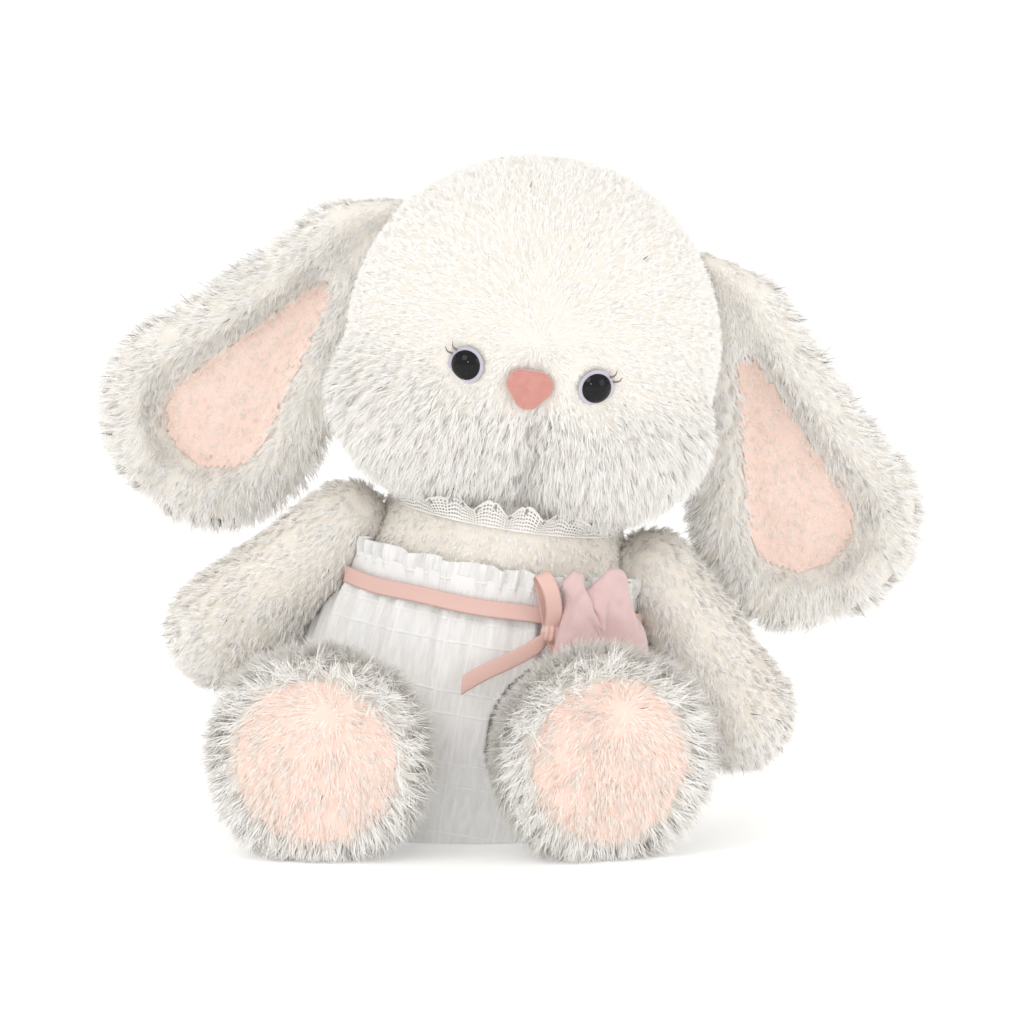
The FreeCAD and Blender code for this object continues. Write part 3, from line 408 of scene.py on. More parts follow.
SKULL = ((0, 0, 0), (78, 68, 77.5))
CHEEKS = [((sign * 31, -19, -27), (48, 45, 42)) for sign in (1, -1)]
MUZZLE = ((0, -8, -12), (75, 57, 59))
EYE_SPREAD = 27.5
EYE_DROP = 8.5
NOSE_DROP = 13.5
CLEFT_SIDE = 7
CLEFT_DEPTH = 5.5
EYE_HOLLOW, NOSE_HOLLOW = 1.9, 2.1
HEAD_PILE, CHIN_PILE, BACK_PILE = 3.6, 6.4, 1.2
HEAD_FIBRES = 2.3
BLEND = 34


def far_side(directions, centre, radii):
    """How far each direction from the origin runs before it leaves an ellipsoid; 0 where it misses."""
    d = directions / np.array(radii, float)
    c = np.array(centre, float) / np.array(radii, float)
    a = np.sum(d * d, -1)
    b = d @ c
    under = b * b - a * (c @ c - 1)
    return np.where(under > 0, (b + np.sqrt(np.maximum(under, 0))) / a, 0)


def head_points(directions):
    """The head's surface along directions from its centre: skull, cheeks and muzzle run together."""
    forms = (SKULL, *CHEEKS, MUZZLE)
    reach = sum(far_side(directions, *form) ** BLEND for form in forms) ** (1 / BLEND)
    points = directions * reach[..., None]
    front = smooth(0, -30, points[..., 1])
    cleft = np.exp(-(((points[..., 0] - CLEFT_SIDE) / 5) ** 2))
    cleft *= smooth(-16, -30, points[..., 2]) * smooth(-70, -55, points[..., 2]) * front
    inward = CLEFT_DEPTH * cleft
    for sign in (1, -1):
        gap = np.hypot(points[..., 0] - sign * EYE_SPREAD, points[..., 2] + EYE_DROP)
        inward += EYE_HOLLOW * smooth(12, 4, gap) * front
    gap = np.hypot(points[..., 0], points[..., 2] + NOSE_DROP)
    inward += NOSE_HOLLOW * smooth(15, 6, gap) * front
    inward -= lumps(points, 46, 0.9, 11)
    return points - directions * inward[..., None]


def sphere_directions(rings, around):
    polar = np.linspace(0, math.pi, rings + 2)[1:-1]
    turn = np.linspace(0, 2 * math.pi, around, endpoint=False)
    p, t = np.meshgrid(polar, turn, indexing="ij")
    return np.stack([np.sin(p) * np.cos(t), np.sin(p) * np.sin(t), np.cos(p)], -1)


def make_head():
    skin = Skin(HEAD.out(head_points(sphere_directions(150, 220))))
    skin_piece("head_skin", skin, "white", "head", "head_shell", "head_stuffing")
    local = HEAD.back(skin.points)
    x, y, z = local.T
    front = smooth(10, -35, y)
    low = smooth(0, -34, z)
    length = HEAD_PILE + CHIN_PILE * low * (0.35 + 0.65 * front) + BACK_PILE * smooth(20, 60, y)
    length *= 1 - 0.45 * smooth(16, 9, np.hypot(x, z + NOSE_DROP)) * front
    for sign in (1, -1):
        length *= 1 - 0.55 * smooth(15, 8.5, np.hypot(x - sign * EYE_SPREAD, z + EYE_DROP)) * front
    away = unit(local - np.array([0, -66, 6]))
    comb = away + np.array([0, 0, -1]) * (0.15 + 1.3 * low)[:, None]
    part = np.sign(x - CLEFT_SIDE) * np.exp(-(((x - CLEFT_SIDE) / 14) ** 2)) * low * front
    comb[:, 0] += part * 0.9
    lay = 64 - 14 * low
    bald = np.ones(len(x))
    for sign in (1, -1):
        bald *= smooth(6.4, 7.6, np.hypot(x - sign * EYE_SPREAD, z + EYE_DROP) + 100 * (1 - front))
    bald *= smooth(8, 9.5, np.hypot(x, (z + NOSE_DROP) * 1.15) + 100 * (1 - front))
    neck = np.hypot(*BODY.back(skin.points)[:, :2].T)
    bald *= np.where((z < -40) & (neck < 30), 0.1, 1)
    fur("head_fur", skin, "head", "white", HEAD_FIBRES, length, HEAD.aim(comb), lay, bald,
        clump=0.15 + 0.3 * low)


# ---------------- torso


def torso_rings(levels, widths, ratios, count, around):
    """Smooth oval rings from a few given sections."""
    level = np.linspace(levels[0], levels[-1], count)
    turn = np.linspace(0, 2 * math.pi, around, endpoint=False)
    width = eased(level, levels, widths)
    depth = eased(level, levels, [w * r for w, r in zip(widths, ratios)])
    x = width[:, None] * np.cos(turn)
    y = depth[:, None] * np.sin(turn)
    return np.stack([x, y, np.repeat(level[:, None], around, 1)], -1), turn, level


def eased(at, places, values):
    """A smooth curve through a few values."""
    places, values = np.array(places, float), np.array(values, float)
    slope = np.gradient(values, places)
    i = np.clip(np.searchsorted(places, at) - 1, 0, len(places) - 2)
    step = places[i + 1] - places[i]
    t = np.clip((at - places[i]) / step, 0, 1)
    a, b = values[i], values[i + 1]
    return (
        a * (1 + 2 * t) * (1 - t) ** 2
        + slope[i] * step * t * (1 - t) ** 2
        + b * t * t * (3 - 2 * t)
        - slope[i + 1] * step * t * t * (1 - t)
    )


TORSO_LEVELS = (-14, 18, 58, 102, 118, 130, 142, 152, 160)
TORSO_WIDTHS = (62, 71, 70, 65, 58, 52.5, 46, 36, 22)
TORSO_RATIOS = (0.7, 0.7, 0.7, 0.7, 0.8, 0.87, 0.95, 1, 1)
SEAT_LEVEL = 1.4
TORSO_PILE, TORSO_FIBRES = 2.6, 1.8


def make_torso():
    ring, _, _ = torso_rings(TORSO_LEVELS, TORSO_WIDTHS, TORSO_RATIOS, 110, 150)
    ring[..., :2] *= (1 + lumps(ring, 50, 0.012, 12))[..., None]
    points = BODY.out(ring)
    points[..., 2] = np.maximum(points[..., 2], SEAT_LEVEL)
    skin = Skin(points)
    skin_piece("torso_skin", skin, "cream", "root", "torso_shell", "torso_stuffing")
    local = BODY.back(skin.points)
    weight = smooth(96, 104, local[:, 2]) * smooth(158, 150, local[:, 2])
    comb = np.tile([0.0, 0.0, -1.0], (len(local), 1)) + local * [0.004, 0, 0]
    fur("torso_fur", skin, "root", "cream", TORSO_FIBRES, TORSO_PILE, BODY.aim(comb), 60, weight, spread=1.1)


# ---------------- limbs


def teardrop_radius(along, small, big, span):
    """Radius of a teardrop at places along its axis, from -small to span + big."""
    slope = (big - small) / span
    a = small * math.sqrt(1 - slope**2)
    b = big * math.sqrt(1 - slope**2)
    low, high = -small * slope, span - big * slope
    cone = a + (along - low) / (high - low) * (b - a)
    first = np.sqrt(np.maximum(small**2 - along**2, 0))
    last = np.sqrt(np.maximum(big**2 - (along - span) ** 2, 0))
    return np.where(along < low, first, np.where(along > high, last, cone))


def dense_ends(low, high, count):
    """Places from low to high, closer together at both ends."""
    t = np.linspace(0, math.pi, count + 2)[1:-1]
    return low + (high - low) * (1 - np.cos(t)) / 2


def revolve(along, radius, around):
    """Rings of points round the local Z axis."""
    turn = np.linspace(0, 2 * math.pi, around, endpoint=False)
    x = radius[:, None] * np.cos(turn)
    y = radius[:, None] * np.sin(turn)
    return np.stack([x, y, np.repeat(along[:, None], around, 1)], -1)


def patch_piece(name, skin, share, least, lift, body, node):
    """A peach piece for a CAD node: the part of a skin whose share passes least, lifted off it."""
    chosen = [f for f in skin.faces() if all(share[i] > least for i in f)]
    used = sorted({i for f in chosen for i in f})
    renumber = {old: new for new, old in enumerate(used)}
    points = (skin.points + skin.normals * lift)[used]
    faces = [[renumber[i] for i in f] for f in chosen]
    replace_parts(make_mesh(name, points, faces, BACKINGS["peach"], body), node)


ARM_SMALL, ARM_BIG, ARM_SPAN = 17.5, 23.5, 69
ARM_PILE, PAW_PILE, ARM_FIBRES = 5.4, 1.6, 1.7


def make_arm(side):
    body = f"arm_{side}"
    along = dense_ends(-ARM_SMALL, ARM_SPAN + ARM_BIG, 90)
    radius = teardrop_radius(along, ARM_SMALL, ARM_BIG, ARM_SPAN)
    rings = revolve(along, radius, 96)
    rings[..., :2] *= (1 + lumps(rings, 34, 0.03, 20 + len(side)))[..., None]
    skin = Skin(ARM[side].out(rings))
    skin_piece(f"{body}_skin", skin, "cream", body, f"{body}_shell", f"{body}_stuffing")
    local = ARM[side].back(skin.points)
    paw = smooth(30, 90, local[:, 2])
    comb = local * [0.012, 0.012, 0] + np.array([0, 0, 1.0])
    length = ARM_PILE + PAW_PILE * paw
    fur(f"{body}_fur", skin, body, "cream", ARM_FIBRES, length, ARM[side].aim(comb), 62 - 14 * paw, 1)


THIGH, FOOT_EDGE, FOOT_FLAT, FOOT_OUT = 32, 12, 31, 34
SOLE_RADIUS = 34
FOOT_CLEARANCE = 0.4
LEG_PILE, FOOT_PILE, LEG_FIBRES = 7.5, 5.0, 1.9
SOLE_PILE, SOLE_FIBRES = 6.2, 1.9


def leg_profile(count):
    """The leg's outline as distance along and radius, from the hip's back to the sole's middle."""
    reach = math.hypot(FOOT_OUT, FOOT_FLAT)
    slope = math.atan2(FOOT_FLAT, FOOT_OUT) + math.asin((FOOT_EDGE - THIGH) / reach)
    start = math.pi / 2 + slope
    hip = np.linspace(math.pi - 0.02, start, count)
    rim = np.linspace(start, 0, count)
    hip_part = np.stack([THIGH * np.cos(hip), THIGH * np.sin(hip)], -1)
    rim_part = np.stack([FOOT_OUT + FOOT_EDGE * np.cos(rim), FOOT_FLAT + FOOT_EDGE * np.sin(rim)], -1)
    wall = np.linspace(hip_part[-1], rim_part[0], count // 2 + 2)[1:-1]
    flat = np.linspace(FOOT_FLAT, 0.5, count)[1:]
    crown = 2.2 * (1 - (flat / FOOT_FLAT) ** 2)
    sole = np.stack([FOOT_OUT + FOOT_EDGE + crown, flat], -1)
    return np.concatenate([hip_part, wall, rim_part, sole])


def make_leg(side):
    body = f"leg_{side}"
    profile = leg_profile(26)
    rings = revolve(profile[:, 0], profile[:, 1], 120)
    rings[..., :2] *= (1 + lumps(rings, 40, 0.02, 30 + len(side)))[..., None]
    points = LEG[side].out(rings)
    points[..., 2] = np.maximum(points[..., 2], FOOT_CLEARANCE)
    skin = Skin(points)
    local = LEG[side].back(skin.points)
    on_sole = local[:, 2] > FOOT_OUT + FOOT_EDGE * 0.8
    radial = np.linalg.norm(local[:, :2], axis=1)
    sole_share = smooth(SOLE_RADIUS + 1.2, SOLE_RADIUS - 1.2, radial) * on_sole
    skin_piece(f"{body}_skin", skin, "white", body, f"{body}_shell", f"{body}_stuffing")
    patch_piece(f"{body}_sole_patch", skin, sole_share, 0.5, 0.5, body, f"{body}_sole")
    outward = local * [1, 1, 0] / SOLE_RADIUS
    wrap = smooth(10, 40, local[:, 2])
    comb = outward * 0.55 + np.array([0, 0, 1.0]) * (1.15 - 0.9 * smooth(36, 46, local[:, 2]))[:, None]
    comb = LEG[side].aim(comb) + np.array([0, 0, -0.35])
    lay = 56 - 18 * smooth(30, 44, local[:, 2])
    fur(f"{body}_fur", skin, body, "white", LEG_FIBRES, LEG_PILE + FOOT_PILE * wrap, comb, lay,
        1 - sole_share, spread=1.8, clump=0.5)
    swirl = local - np.array([6, 18, 0])
    sole_comb = LEG[side].aim(unit(swirl * [1, 1, 0])) + np.array([0, 0, -0.45])
    fur(f"{body}_sole_fur", skin, body, "peach", SOLE_FIBRES, SOLE_PILE, sole_comb, 62,
        sole_share, spread=1.5, clump=0.5)


# ---------------- ears

EAR_SMALL, EAR_BIG, EAR_SPAN, EAR_HALF = 18, 45, 112, 6.5
LINING_SMALL, LINING_BIG, LINING_SPAN = 6, 24, 71
EAR_FULLNESS = 5
FULLEST, FULL_STRETCH = 120, 34
ROOT_TUCK = 0.15
RIM_ROLL, DISH_DEPTH = 4.5, 7.5
EAR_PILE, RIM_PILE, TIP_PILE, EAR_FIBRES = 6.2, 1.8, 1.5, 1.7
LINING_PILE, LINING_FIBRES = 3.4, 2.2


def lining_gap(x, along):
    """Distance outside the lining's teardrop outline; negative inside."""
    start = EAR_SPAN - LINING_SPAN
    t = np.clip((along - start) / LINING_SPAN, 0, 1)
    radius = LINING_SMALL + (LINING_BIG - LINING_SMALL) * t
    return np.hypot(x, along - start - t * LINING_SPAN) - radius


def ear_front(x, along, sign):
    """How far the ear's front stands off its middle: a soft rim round a dished lining."""
    gap = lining_gap(x, along)
    dish = smooth(7, -7, gap)
    rolled = smooth(2, 10, gap) * smooth(0, 14, sign * x)
    return EAR_HALF + RIM_ROLL * rolled - DISH_DEPTH * dish


def make_ear(side, sign):
    body = f"ear_{side}"
    along = dense_ends(-EAR_SMALL, EAR_SPAN + EAR_BIG, 110)
    wide = teardrop_radius(along, EAR_SMALL, EAR_BIG, EAR_SPAN)
    turn = np.linspace(0, 2 * math.pi, 140, endpoint=False)
    x = wide[:, None] * np.sign(np.cos(turn)) * np.abs(np.cos(turn)) ** 0.75
    y = np.repeat(along[:, None], len(turn), 1)
    edge = np.abs(np.sin(turn)) ** 0.55 * smooth(0, 16, wide)[:, None]
    front = np.sin(turn) < 0
    z = np.where(front, -ear_front(x, y, sign), EAR_HALF) * edge
    outer = np.clip(sign * x / np.maximum(wide[:, None], 1), 0, 1)
    full = EAR_FULLNESS * np.exp(-(((y - FULLEST) / FULL_STRETCH) ** 2))
    rings = np.stack([x + sign * outer * full, y, z], -1)
    rings[..., 2] += lumps(rings, 45, 0.9, 40 + len(side))
    place = EAR[side]
    points = place.out(rings)
    points += (HEAD.origin - points) * (ROOT_TUCK * smooth(14, -16, y))[..., None]
    head = HEAD.back(points)
    inside = far_side(unit(head), *SKULL) - np.linalg.norm(head, axis=-1)
    points[..., 1] += np.where(inside > -1, np.minimum(inside + 1, 12) * 0.8, 0)
    skin = Skin(points)
    skin_piece(f"{body}_skin", skin, "white", body, f"{body}_shell", f"{body}_wadding")
    local = place.back(skin.points)
    gap = lining_gap(local[:, 0], local[:, 1])
    facing = (skin.normals @ place.aim([0, 0, -1.0])) > 0.1
    lined = smooth(0.9, -0.9, gap) * facing
    patch_piece(f"{body}_lining_patch", skin, lined, 0.4, 0.6, body, f"{body}_lining")
    rim = smooth(0.55, 0.95, np.abs(local[:, 0]) / np.maximum(np.interp(local[:, 1], along, wide), 1))
    tip = smooth(EAR_SPAN, EAR_SPAN + EAR_BIG, local[:, 1])
    root = 0.5 + 0.5 * smooth(-5, 25, local[:, 1])
    comb = np.tile([0.0, 1.0, 0.0], (len(local), 1))
    comb[:, 0] = np.sign(local[:, 0]) * (0.25 + 0.7 * rim)
    length = (EAR_PILE + RIM_PILE * rim + TIP_PILE * tip) * root
    fur(f"{body}_fur", skin, body, "white", EAR_FIBRES, length, place.aim(comb), 58 - 14 * rim,
        1 - lined, spread=1.5, clump=0.5)
    along_ear = np.tile([0.0, 1.0, 0.0], (len(local), 1)) + local * [0.01, 0, 0]
    fur(f"{body}_lining_fur", skin, body, "peach", LINING_FIBRES, LINING_PILE, place.aim(along_ear), 60,
        lined, spread=1.1)


# ---------------- tail

TAIL = Place(BODY.out((0, 60, 36)), BODY.turn)
TAIL_RADIUS = 15.5
TAIL_PILE, TAIL_FIBRES = 9.0, 2.6


def make_tail():
    skin = Skin(TAIL.out(sphere_directions(40, 60) * TAIL_RADIUS))
    skin_piece("tail_skin", skin, "white", "root", "tail_shell", "tail_stuffing")
    comb = skin.normals + np.array([0, 0.4, -0.7])
    fur("tail_fur", skin, "root", "white", TAIL_FIBRES, TAIL_PILE, comb, 24, 1, spread=1.6, clump=0.7)


# ---------------- shorts, ruffle and ribbon

SHORTS_LEVELS = (-14, 4, 30, 60, 90, 101, 106)
SHORTS_WIDTHS = (66, 76, 80, 78, 72, 68, 66.5)
SHORTS_RATIO = 0.72
WAIST_TOP = 106
PLEATS = 40
HIP_ROOM = 4.5
ARM_ROOM = 0.6
HEM_CLEARANCE = 0.5
WAIST_WIDE, WAIST_DEEP = 65, 49


def clear_of_arms(points, room):
    """Move what would stand inside an arm back towards the body, as cloth under an arm is pressed in."""
    moved = points.copy()
    for side, _ in SIDES:
        local = ARM[side].back(moved)
        reach = teardrop_radius(local[..., 2], ARM_SMALL + room, ARM_BIG + room, ARM_SPAN)
        toward = np.sign(ARM[side].back(BODY.out((0, 0, 90)))[0])
        wall = np.sqrt(np.maximum(reach**2 - local[..., 1] ** 2, 0)) * toward
        hit = (np.abs(local[..., 1]) < reach) & (local[..., 0] * toward < np.abs(wall))
        local[..., 0] = np.where(hit, wall, local[..., 0])
        moved = np.where(hit[..., None], ARM[side].out(local), moved)
    return moved


def clear_of_hips(points, room):
    """Move what would stand inside a thigh's ball behind it, as the leg of a pair of shorts sits."""
    moved = points.copy()
    for side, _ in SIDES:
        offset = moved - PIVOT[f"leg_{side}_splay"]
        reach = THIGH + room
        behind = np.sqrt(np.maximum(reach**2 - offset[..., 0] ** 2 - offset[..., 2] ** 2, 0))
        hit = (behind > 0) & (offset[..., 1] < behind)
        moved[..., 1] = np.where(hit, PIVOT[f"leg_{side}_splay"][1] + behind, moved[..., 1])
    return moved


def weave_map(piece, around, up):
    """Store millimetres round and up the cloth as the map its weave is drawn on."""
    layer = piece.data.uv_layers.new(name="weave")
    corner = np.empty(len(piece.data.loops), np.int32)
    piece.data.loops.foreach_get("vertex_index", corner)
    layer.data.foreach_set("uv", np.stack([around[corner], up[corner]], -1).astype(np.float32).ravel())


def woven_place(material):
    """Millimetres round and up a cloth, as a socket and split into X and Y."""
    place = add_node(material, "ShaderNodeUVMap", uv_map="weave").outputs["UV"]
    split = add_node(material, "ShaderNodeSeparateXYZ")
    material.node_tree.links.new(place, split.inputs[0])
    return place, split.outputs


PANE = 15
THREAD_PLACE = 4.7
RIBBON_WIDTH = 7


def gauze_material():
    """Double gauze: paired raised threads make a windowpane over a fine crinkle."""
    material, shader = principled("double_gauze", 0.9, sheen=0.25, specular=0.15)
    link = material.node_tree.links.new
    place, split = woven_place(material)
    ridges = []
    for axis in ("X", "Y"):
        folded = math_node(material, "PINGPONG", split[axis], PANE)
        away = math_node(material, "SUBTRACT", folded, THREAD_PLACE)
        ridge = add_node(material, "ShaderNodeMapRange", interpolation_type="SMOOTHSTEP")
        ridge.inputs["From Min"].default_value = 0.75
        ridge.inputs["From Max"].default_value = 0.2
        link(math_node(material, "ABSOLUTE", away), ridge.inputs["Value"])
        ridges.append(ridge.outputs[0])
    pane = math_node(material, "MAXIMUM", *ridges)
    stretch = add_node(material, "ShaderNodeMapping", Scale=(1, 0.16, 1))
    crinkle = add_node(material, "ShaderNodeTexNoise", Scale=0.55, Detail=4.0, Roughness=0.6)
    thread = add_node(material, "ShaderNodeTexNoise", Scale=2.6, Detail=1.0)
    link(place, stretch.inputs["Vector"])
    link(stretch.outputs[0], crinkle.inputs["Vector"])
    link(place, thread.inputs["Vector"])
    # The height also sets the colour: raised pane threads and crinkle crests are painted lighter and the
    # crinkle's hollows painted darker, as painted light and shade. The fine thread noise is a real random
    # tone.
    crinkled = math_node(material, "MULTIPLY_ADD", crinkle.outputs["Fac"], 1.3, pane)
    height = math_node(material, "MULTIPLY_ADD", thread.outputs["Fac"], 0.25, crinkled)
    ramp = colour_ramp(material, 0.35, (0.72, 0.712, 0.70), 1.0, (0.88, 0.875, 0.865))
    bump = add_node(material, "ShaderNodeBump", Strength=0.6, Distance=0.0004)
    dress(material, shader, height, ramp, height, bump)
    return material


def satin_material():
    """Satin ribbon: a fine rib across, a soft sheen and colour slightly darker towards both edges."""
    material, shader = principled("satin_ribbon", 0.42, sheen=0.2, specular=0.45)
    shader.inputs["Anisotropic"].default_value = 0.4
    place, split = woven_place(material)
    off_middle = math_node(material, "ABSOLUTE", split["Y"])
    edge = math_node(material, "DIVIDE", off_middle, RIBBON_WIDTH / 2 + 0.1)
    ramp = colour_ramp(material, 0.76, (0.75, 0.50, 0.445), 0.95, (0.67, 0.44, 0.39))
    rib = add_node(material, "ShaderNodeTexWave", Scale=1.1, Distortion=0.4, Detail=1.0)
    material.node_tree.links.new(place, rib.inputs["Vector"])
    bump = add_node(material, "ShaderNodeBump", Strength=0.18, Distance=0.0002)
    dress(material, shader, edge, ramp, rib.outputs["Fac"], bump)
    return material


gauze = gauze_material()
satin = satin_material()


def waist_oval(turn, grow):
    """The waist's outline in the body's frame, grow millimetres outside the torso."""
    return np.stack([(WAIST_WIDE + grow) * np.cos(turn), (WAIST_DEEP + grow) * np.sin(turn)], -1)


def make_shorts():
    count, around = 130, 420
    ring, turn, level = torso_rings(SHORTS_LEVELS, SHORTS_WIDTHS, [SHORTS_RATIO] * 7, count, around)
    close = smooth(40, WAIST_TOP, level)[:, None]
    shift = 0.5 * np.sin(turn * 7 + 1.3) + 0.35 * np.sin(turn * 11 + 0.4)
    gathers = np.sin(turn * PLEATS + shift * 3) * 1.5 * close**1.6
    broad = np.sin(turn * 17 + shift * 2 + 0.4) * 0.9 * smooth(0, 70, level)[:, None]
    crinkle = np.sin(turn * 61 + 2.2 * np.sin(turn * 9) + level[:, None] * 0.05) * 0.22
    outward = ring * [1, 1, 0]
    ring = ring + unit(outward) * (gathers + broad + crinkle + lumps(ring, 60, 1.2, 50))[..., None]
    ring[..., :2] *= (1 - 0.045 * smooth(98, WAIST_TOP, level))[:, None, None]
    points = clear_of_arms(BODY.out(ring), ARM_ROOM)
    points = clear_of_hips(points, HIP_ROOM)
    points[..., 2] = np.maximum(points[..., 2], HEM_CLEARANCE)
    skin = Skin(points, ends=(True, False))
    piece = make_mesh("shorts_cloth", skin.points, skin.faces(), gauze, "root")
    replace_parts(piece, "shorts_shell")
    along = np.broadcast_to(turn * 66, (count, around)).ravel()
    up = np.repeat(level, around)
    weave_map(piece, np.append(along, 0), np.append(up, level[0]))


def make_ruffle():
    count, around = 22, 1100
    rise = np.linspace(-1.5, 13.0, count)
    turn = np.linspace(0, 2 * math.pi, around, endpoint=False)
    shift = 0.6 * np.sin(turn * 5 + 0.3) + 0.5 * np.sin(turn * 13 + 1.1)
    flare = smooth(0, 12, rise)[:, None]
    pleat = np.sin(turn * PLEATS * 1.15 + shift * 3.2)
    grow = 2.2 + flare * (2.4 + 2.4 * pleat) + 0.5 * np.sin(turn * 133) * flare
    top = 1 + 0.06 * np.sin(turn * 21 + shift)
    oval = waist_oval(turn, 0)
    away = unit(oval)
    ring = np.zeros((count, around, 3))
    ring[..., :2] = oval + away * grow[..., None]
    ring[..., :2] *= (1 - 0.004 * np.maximum(rise, 0))[:, None, None]
    ring[..., 2] = WAIST_TOP + rise[:, None] * top
    points = clear_of_arms(BODY.out(ring), ARM_ROOM)
    skin = Skin(points, ends=(False, False))
    piece = make_mesh("ruffle_cloth", skin.points, skin.faces(), gauze, "root")
    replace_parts(piece, "waist_ruffle")
    weave_map(piece, np.broadcast_to(turn * 90, (count, around)).ravel(), np.repeat(rise + 20, around))


def strip(name, path, across, body, wide=RIBBON_WIDTH, slant=0.0, thick=0.35):
    """A ribbon swept along a path, with a thickness; slant cuts its far end at an angle."""
    across = unit(across)
    run = np.concatenate([[0], np.cumsum(np.linalg.norm(np.diff(path, axis=0), axis=1))])
    side = np.linspace(-0.5, 0.5, 9)
    heading = unit(np.gradient(path, axis=0))
    face = unit(np.cross(heading, across))
    end = smooth(run[-1] - 8, run[-1], run)[:, None]
    grid = path[:, None] + across[:, None] * (side * wide)[None, :, None]
    grid = grid + heading[:, None] * (end * side * slant)[..., None]
    grid = grid + face[:, None] * (0.25 * (4 * side**2 - 1))[None, :, None]
    upper, lower = grid + face[:, None] * thick / 2, grid - face[:, None] * thick / 2
    rings = np.concatenate([upper, lower[:, ::-1]], axis=1)
    skin = Skin(rings)
    piece = make_mesh(name, skin.points, skin.faces(), satin, body)
    width_map = np.tile(np.concatenate([side, side[::-1]]) * wide, len(path))
    run_map = np.repeat(run, 18)
    weave_map(piece, np.append(run_map, [0, 0]), np.append(width_map, [0, 0]))
    return piece


RIBBON_ROOM, RIBBON_DROP = 5.2, 4


def make_ribbon():
    turn = np.linspace(0, 2 * math.pi, 721)
    oval = waist_oval(turn, RIBBON_ROOM)
    level = WAIST_TOP - RIBBON_DROP + 0.3 * np.sin(turn * 9 + 1)
    path = BODY.out(np.column_stack([oval, level]))
    path = clear_of_arms(path, ARM_ROOM + 1)
    piece = strip("ribbon_band", path, np.tile(BODY.aim([0, 0, 1.0]), (len(path), 1)), "root")
    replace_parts(piece, "waist_ribbon")


# ---------------- bow and tulip


def front_place(side, level, stand_off, turn):
    """A frame on the front of the clothes: x across, y up, z forward."""
    half = eased(np.array([level]), SHORTS_LEVELS, SHORTS_WIDTHS)[0]
    depth = half * SHORTS_RATIO * math.sqrt(1 - (side / half) ** 2)
    turn_matrix = BODY.turn @ about("z", turn) @ about("x", 90)
    return Place(BODY.out((side, -depth - stand_off, level)), turn_matrix)


def spline(knots, count):
    """A smooth path through knots, evenly spaced."""
    knots = np.array(knots, float)
    run = np.concatenate([[0], np.cumsum(np.linalg.norm(np.diff(knots, axis=0), axis=1))])
    at = np.linspace(0, run[-1], count)
    return np.stack([eased(at, run, knots[:, k]) for k in range(knots.shape[1])], -1)


BOW = front_place(25, 96, 6.0, 18)


BOW_STEPS = 70


def bow_strip(name, node, knots, across, slant=0.0):
    """A piece of the bow through given knots, each with the way its ribbon lies across."""
    path = BOW.out(spline(knots, BOW_STEPS))
    across = np.array(across, float)
    place = np.linspace(0, len(across) - 1, BOW_STEPS)
    widths = BOW.aim(np.stack([eased(place, range(len(across)), across[:, k]) for k in range(3)], -1))
    heading = unit(np.gradient(path, axis=0))
    widths = tangent(widths, heading)
    piece = strip(name, path, widths, "root", slant=slant)
    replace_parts(piece, node)


def make_bow():
    bow_strip(
        "bow_loop_top", "bow_loop_upper",
        [
            (0, 1, 2.0), (-1.5, 10, 5.5), (-5.5, 20, 6.0), (-8.5, 24.5, 3.2),
            (-8, 23.5, 0.6), (-4, 14, -0.6), (0, 2, 0),
        ],
        [
            (1, 0.25, 0.1), (1, 0.3, 0.25), (1, 0.45, 0.1), (1, 0.5, 0),
            (1, 0.45, 0), (1, 0.3, 0), (1, 0.2, 0),
        ],
    )
    bow_strip(
        "bow_loop_right", "bow_loop_side",
        [
            (1, 0, 2.0), (9, -2, 5.0), (17, -4, 4.6), (20, -5, 2.5),
            (18, -4.6, 0.5), (9, -2.2, -0.6), (1, 0, 0),
        ],
        [(0.2, 1, 0), (0.2, 1, 0.1), (0.2, 1, 0.1), *[(0.2, 1, 0)] * 4],
    )
    bow_strip(
        "bow_tail_long", "bow_end_long",
        [(0, -1, 1.0), (-6, -6, 3.4), (-16, -13, 3.6), (-27, -20, 2.4), (-35, -26.5, 0.8)],
        [(0.5, 1, 0.1), (-0.5, 1, 0.1), (-0.58, 1, 0.05), (-0.6, 1, 0), (-0.6, 1, 0)], slant=-5,
    )
    bow_strip(
        "bow_tail_short", "bow_end_short",
        [(1, -1, 0.8), (5, -9, 2.6), (9, -17, 2.6), (12, -23, 1.0)],
        [(1, 0.3, 0), (1, 0.45, 0), (1, 0.45, 0), (1, 0.45, 0)], slant=4,
    )
    ball = sphere_directions(28, 44)
    shape = np.sign(ball) * np.abs(ball) ** 0.8 * [4.3, 4.0, 2.6]
    shape[..., 2] += 0.35 * np.cos(shape[..., 0] * 2.6) + 1.6
    skin = Skin(BOW.out(shape))
    piece = make_mesh("bow_knot_wrap", skin.points, skin.faces(), satin, "root")
    weave_map(piece, skin.points[:, 0], np.zeros(len(skin.points)))
    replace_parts(piece, "bow_knot")


TULIP = front_place(45, 87, 9.5, 25)
TULIP_OUTLINE = (
    (-18, 37), (-12.5, 36), (-8.7, 31), (-3.5, 35), (3, 40.5), (9, 39), (13, 32), (17, 24), (23, 15),
    (26, 4), (24, -8), (16, -18), (4, -22), (-8, -20), (-16, -12), (-20, 0), (-20.5, 12), (-20.5, 24),
    (-21.5, 32),
)
TULIP_MIDDLE = np.array([2, 8])
TULIP_FRAMES, QUICK_FRAMES = 24, 6
TULIP_DEPTH = 12
LEAST_PUFF, MOST_PUFF = 4, 26
FOLDS = (
    ([(-8.7, 33), (-12, 27), (-16, 22)], 1.3, 1.3),
    ([(-6, 33), (0, 29), (6, 24)], 0.9, 1.6),
)
SIM_SCALE = 0.01
PAD_CLOTH = {
    "quality": 6, "mass": 0.3, "tension_stiffness": 30, "compression_stiffness": 30,
    "bending_stiffness": 1.5, "air_damping": 6, "use_pressure": True, "uniform_pressure_force": 2.5,
}


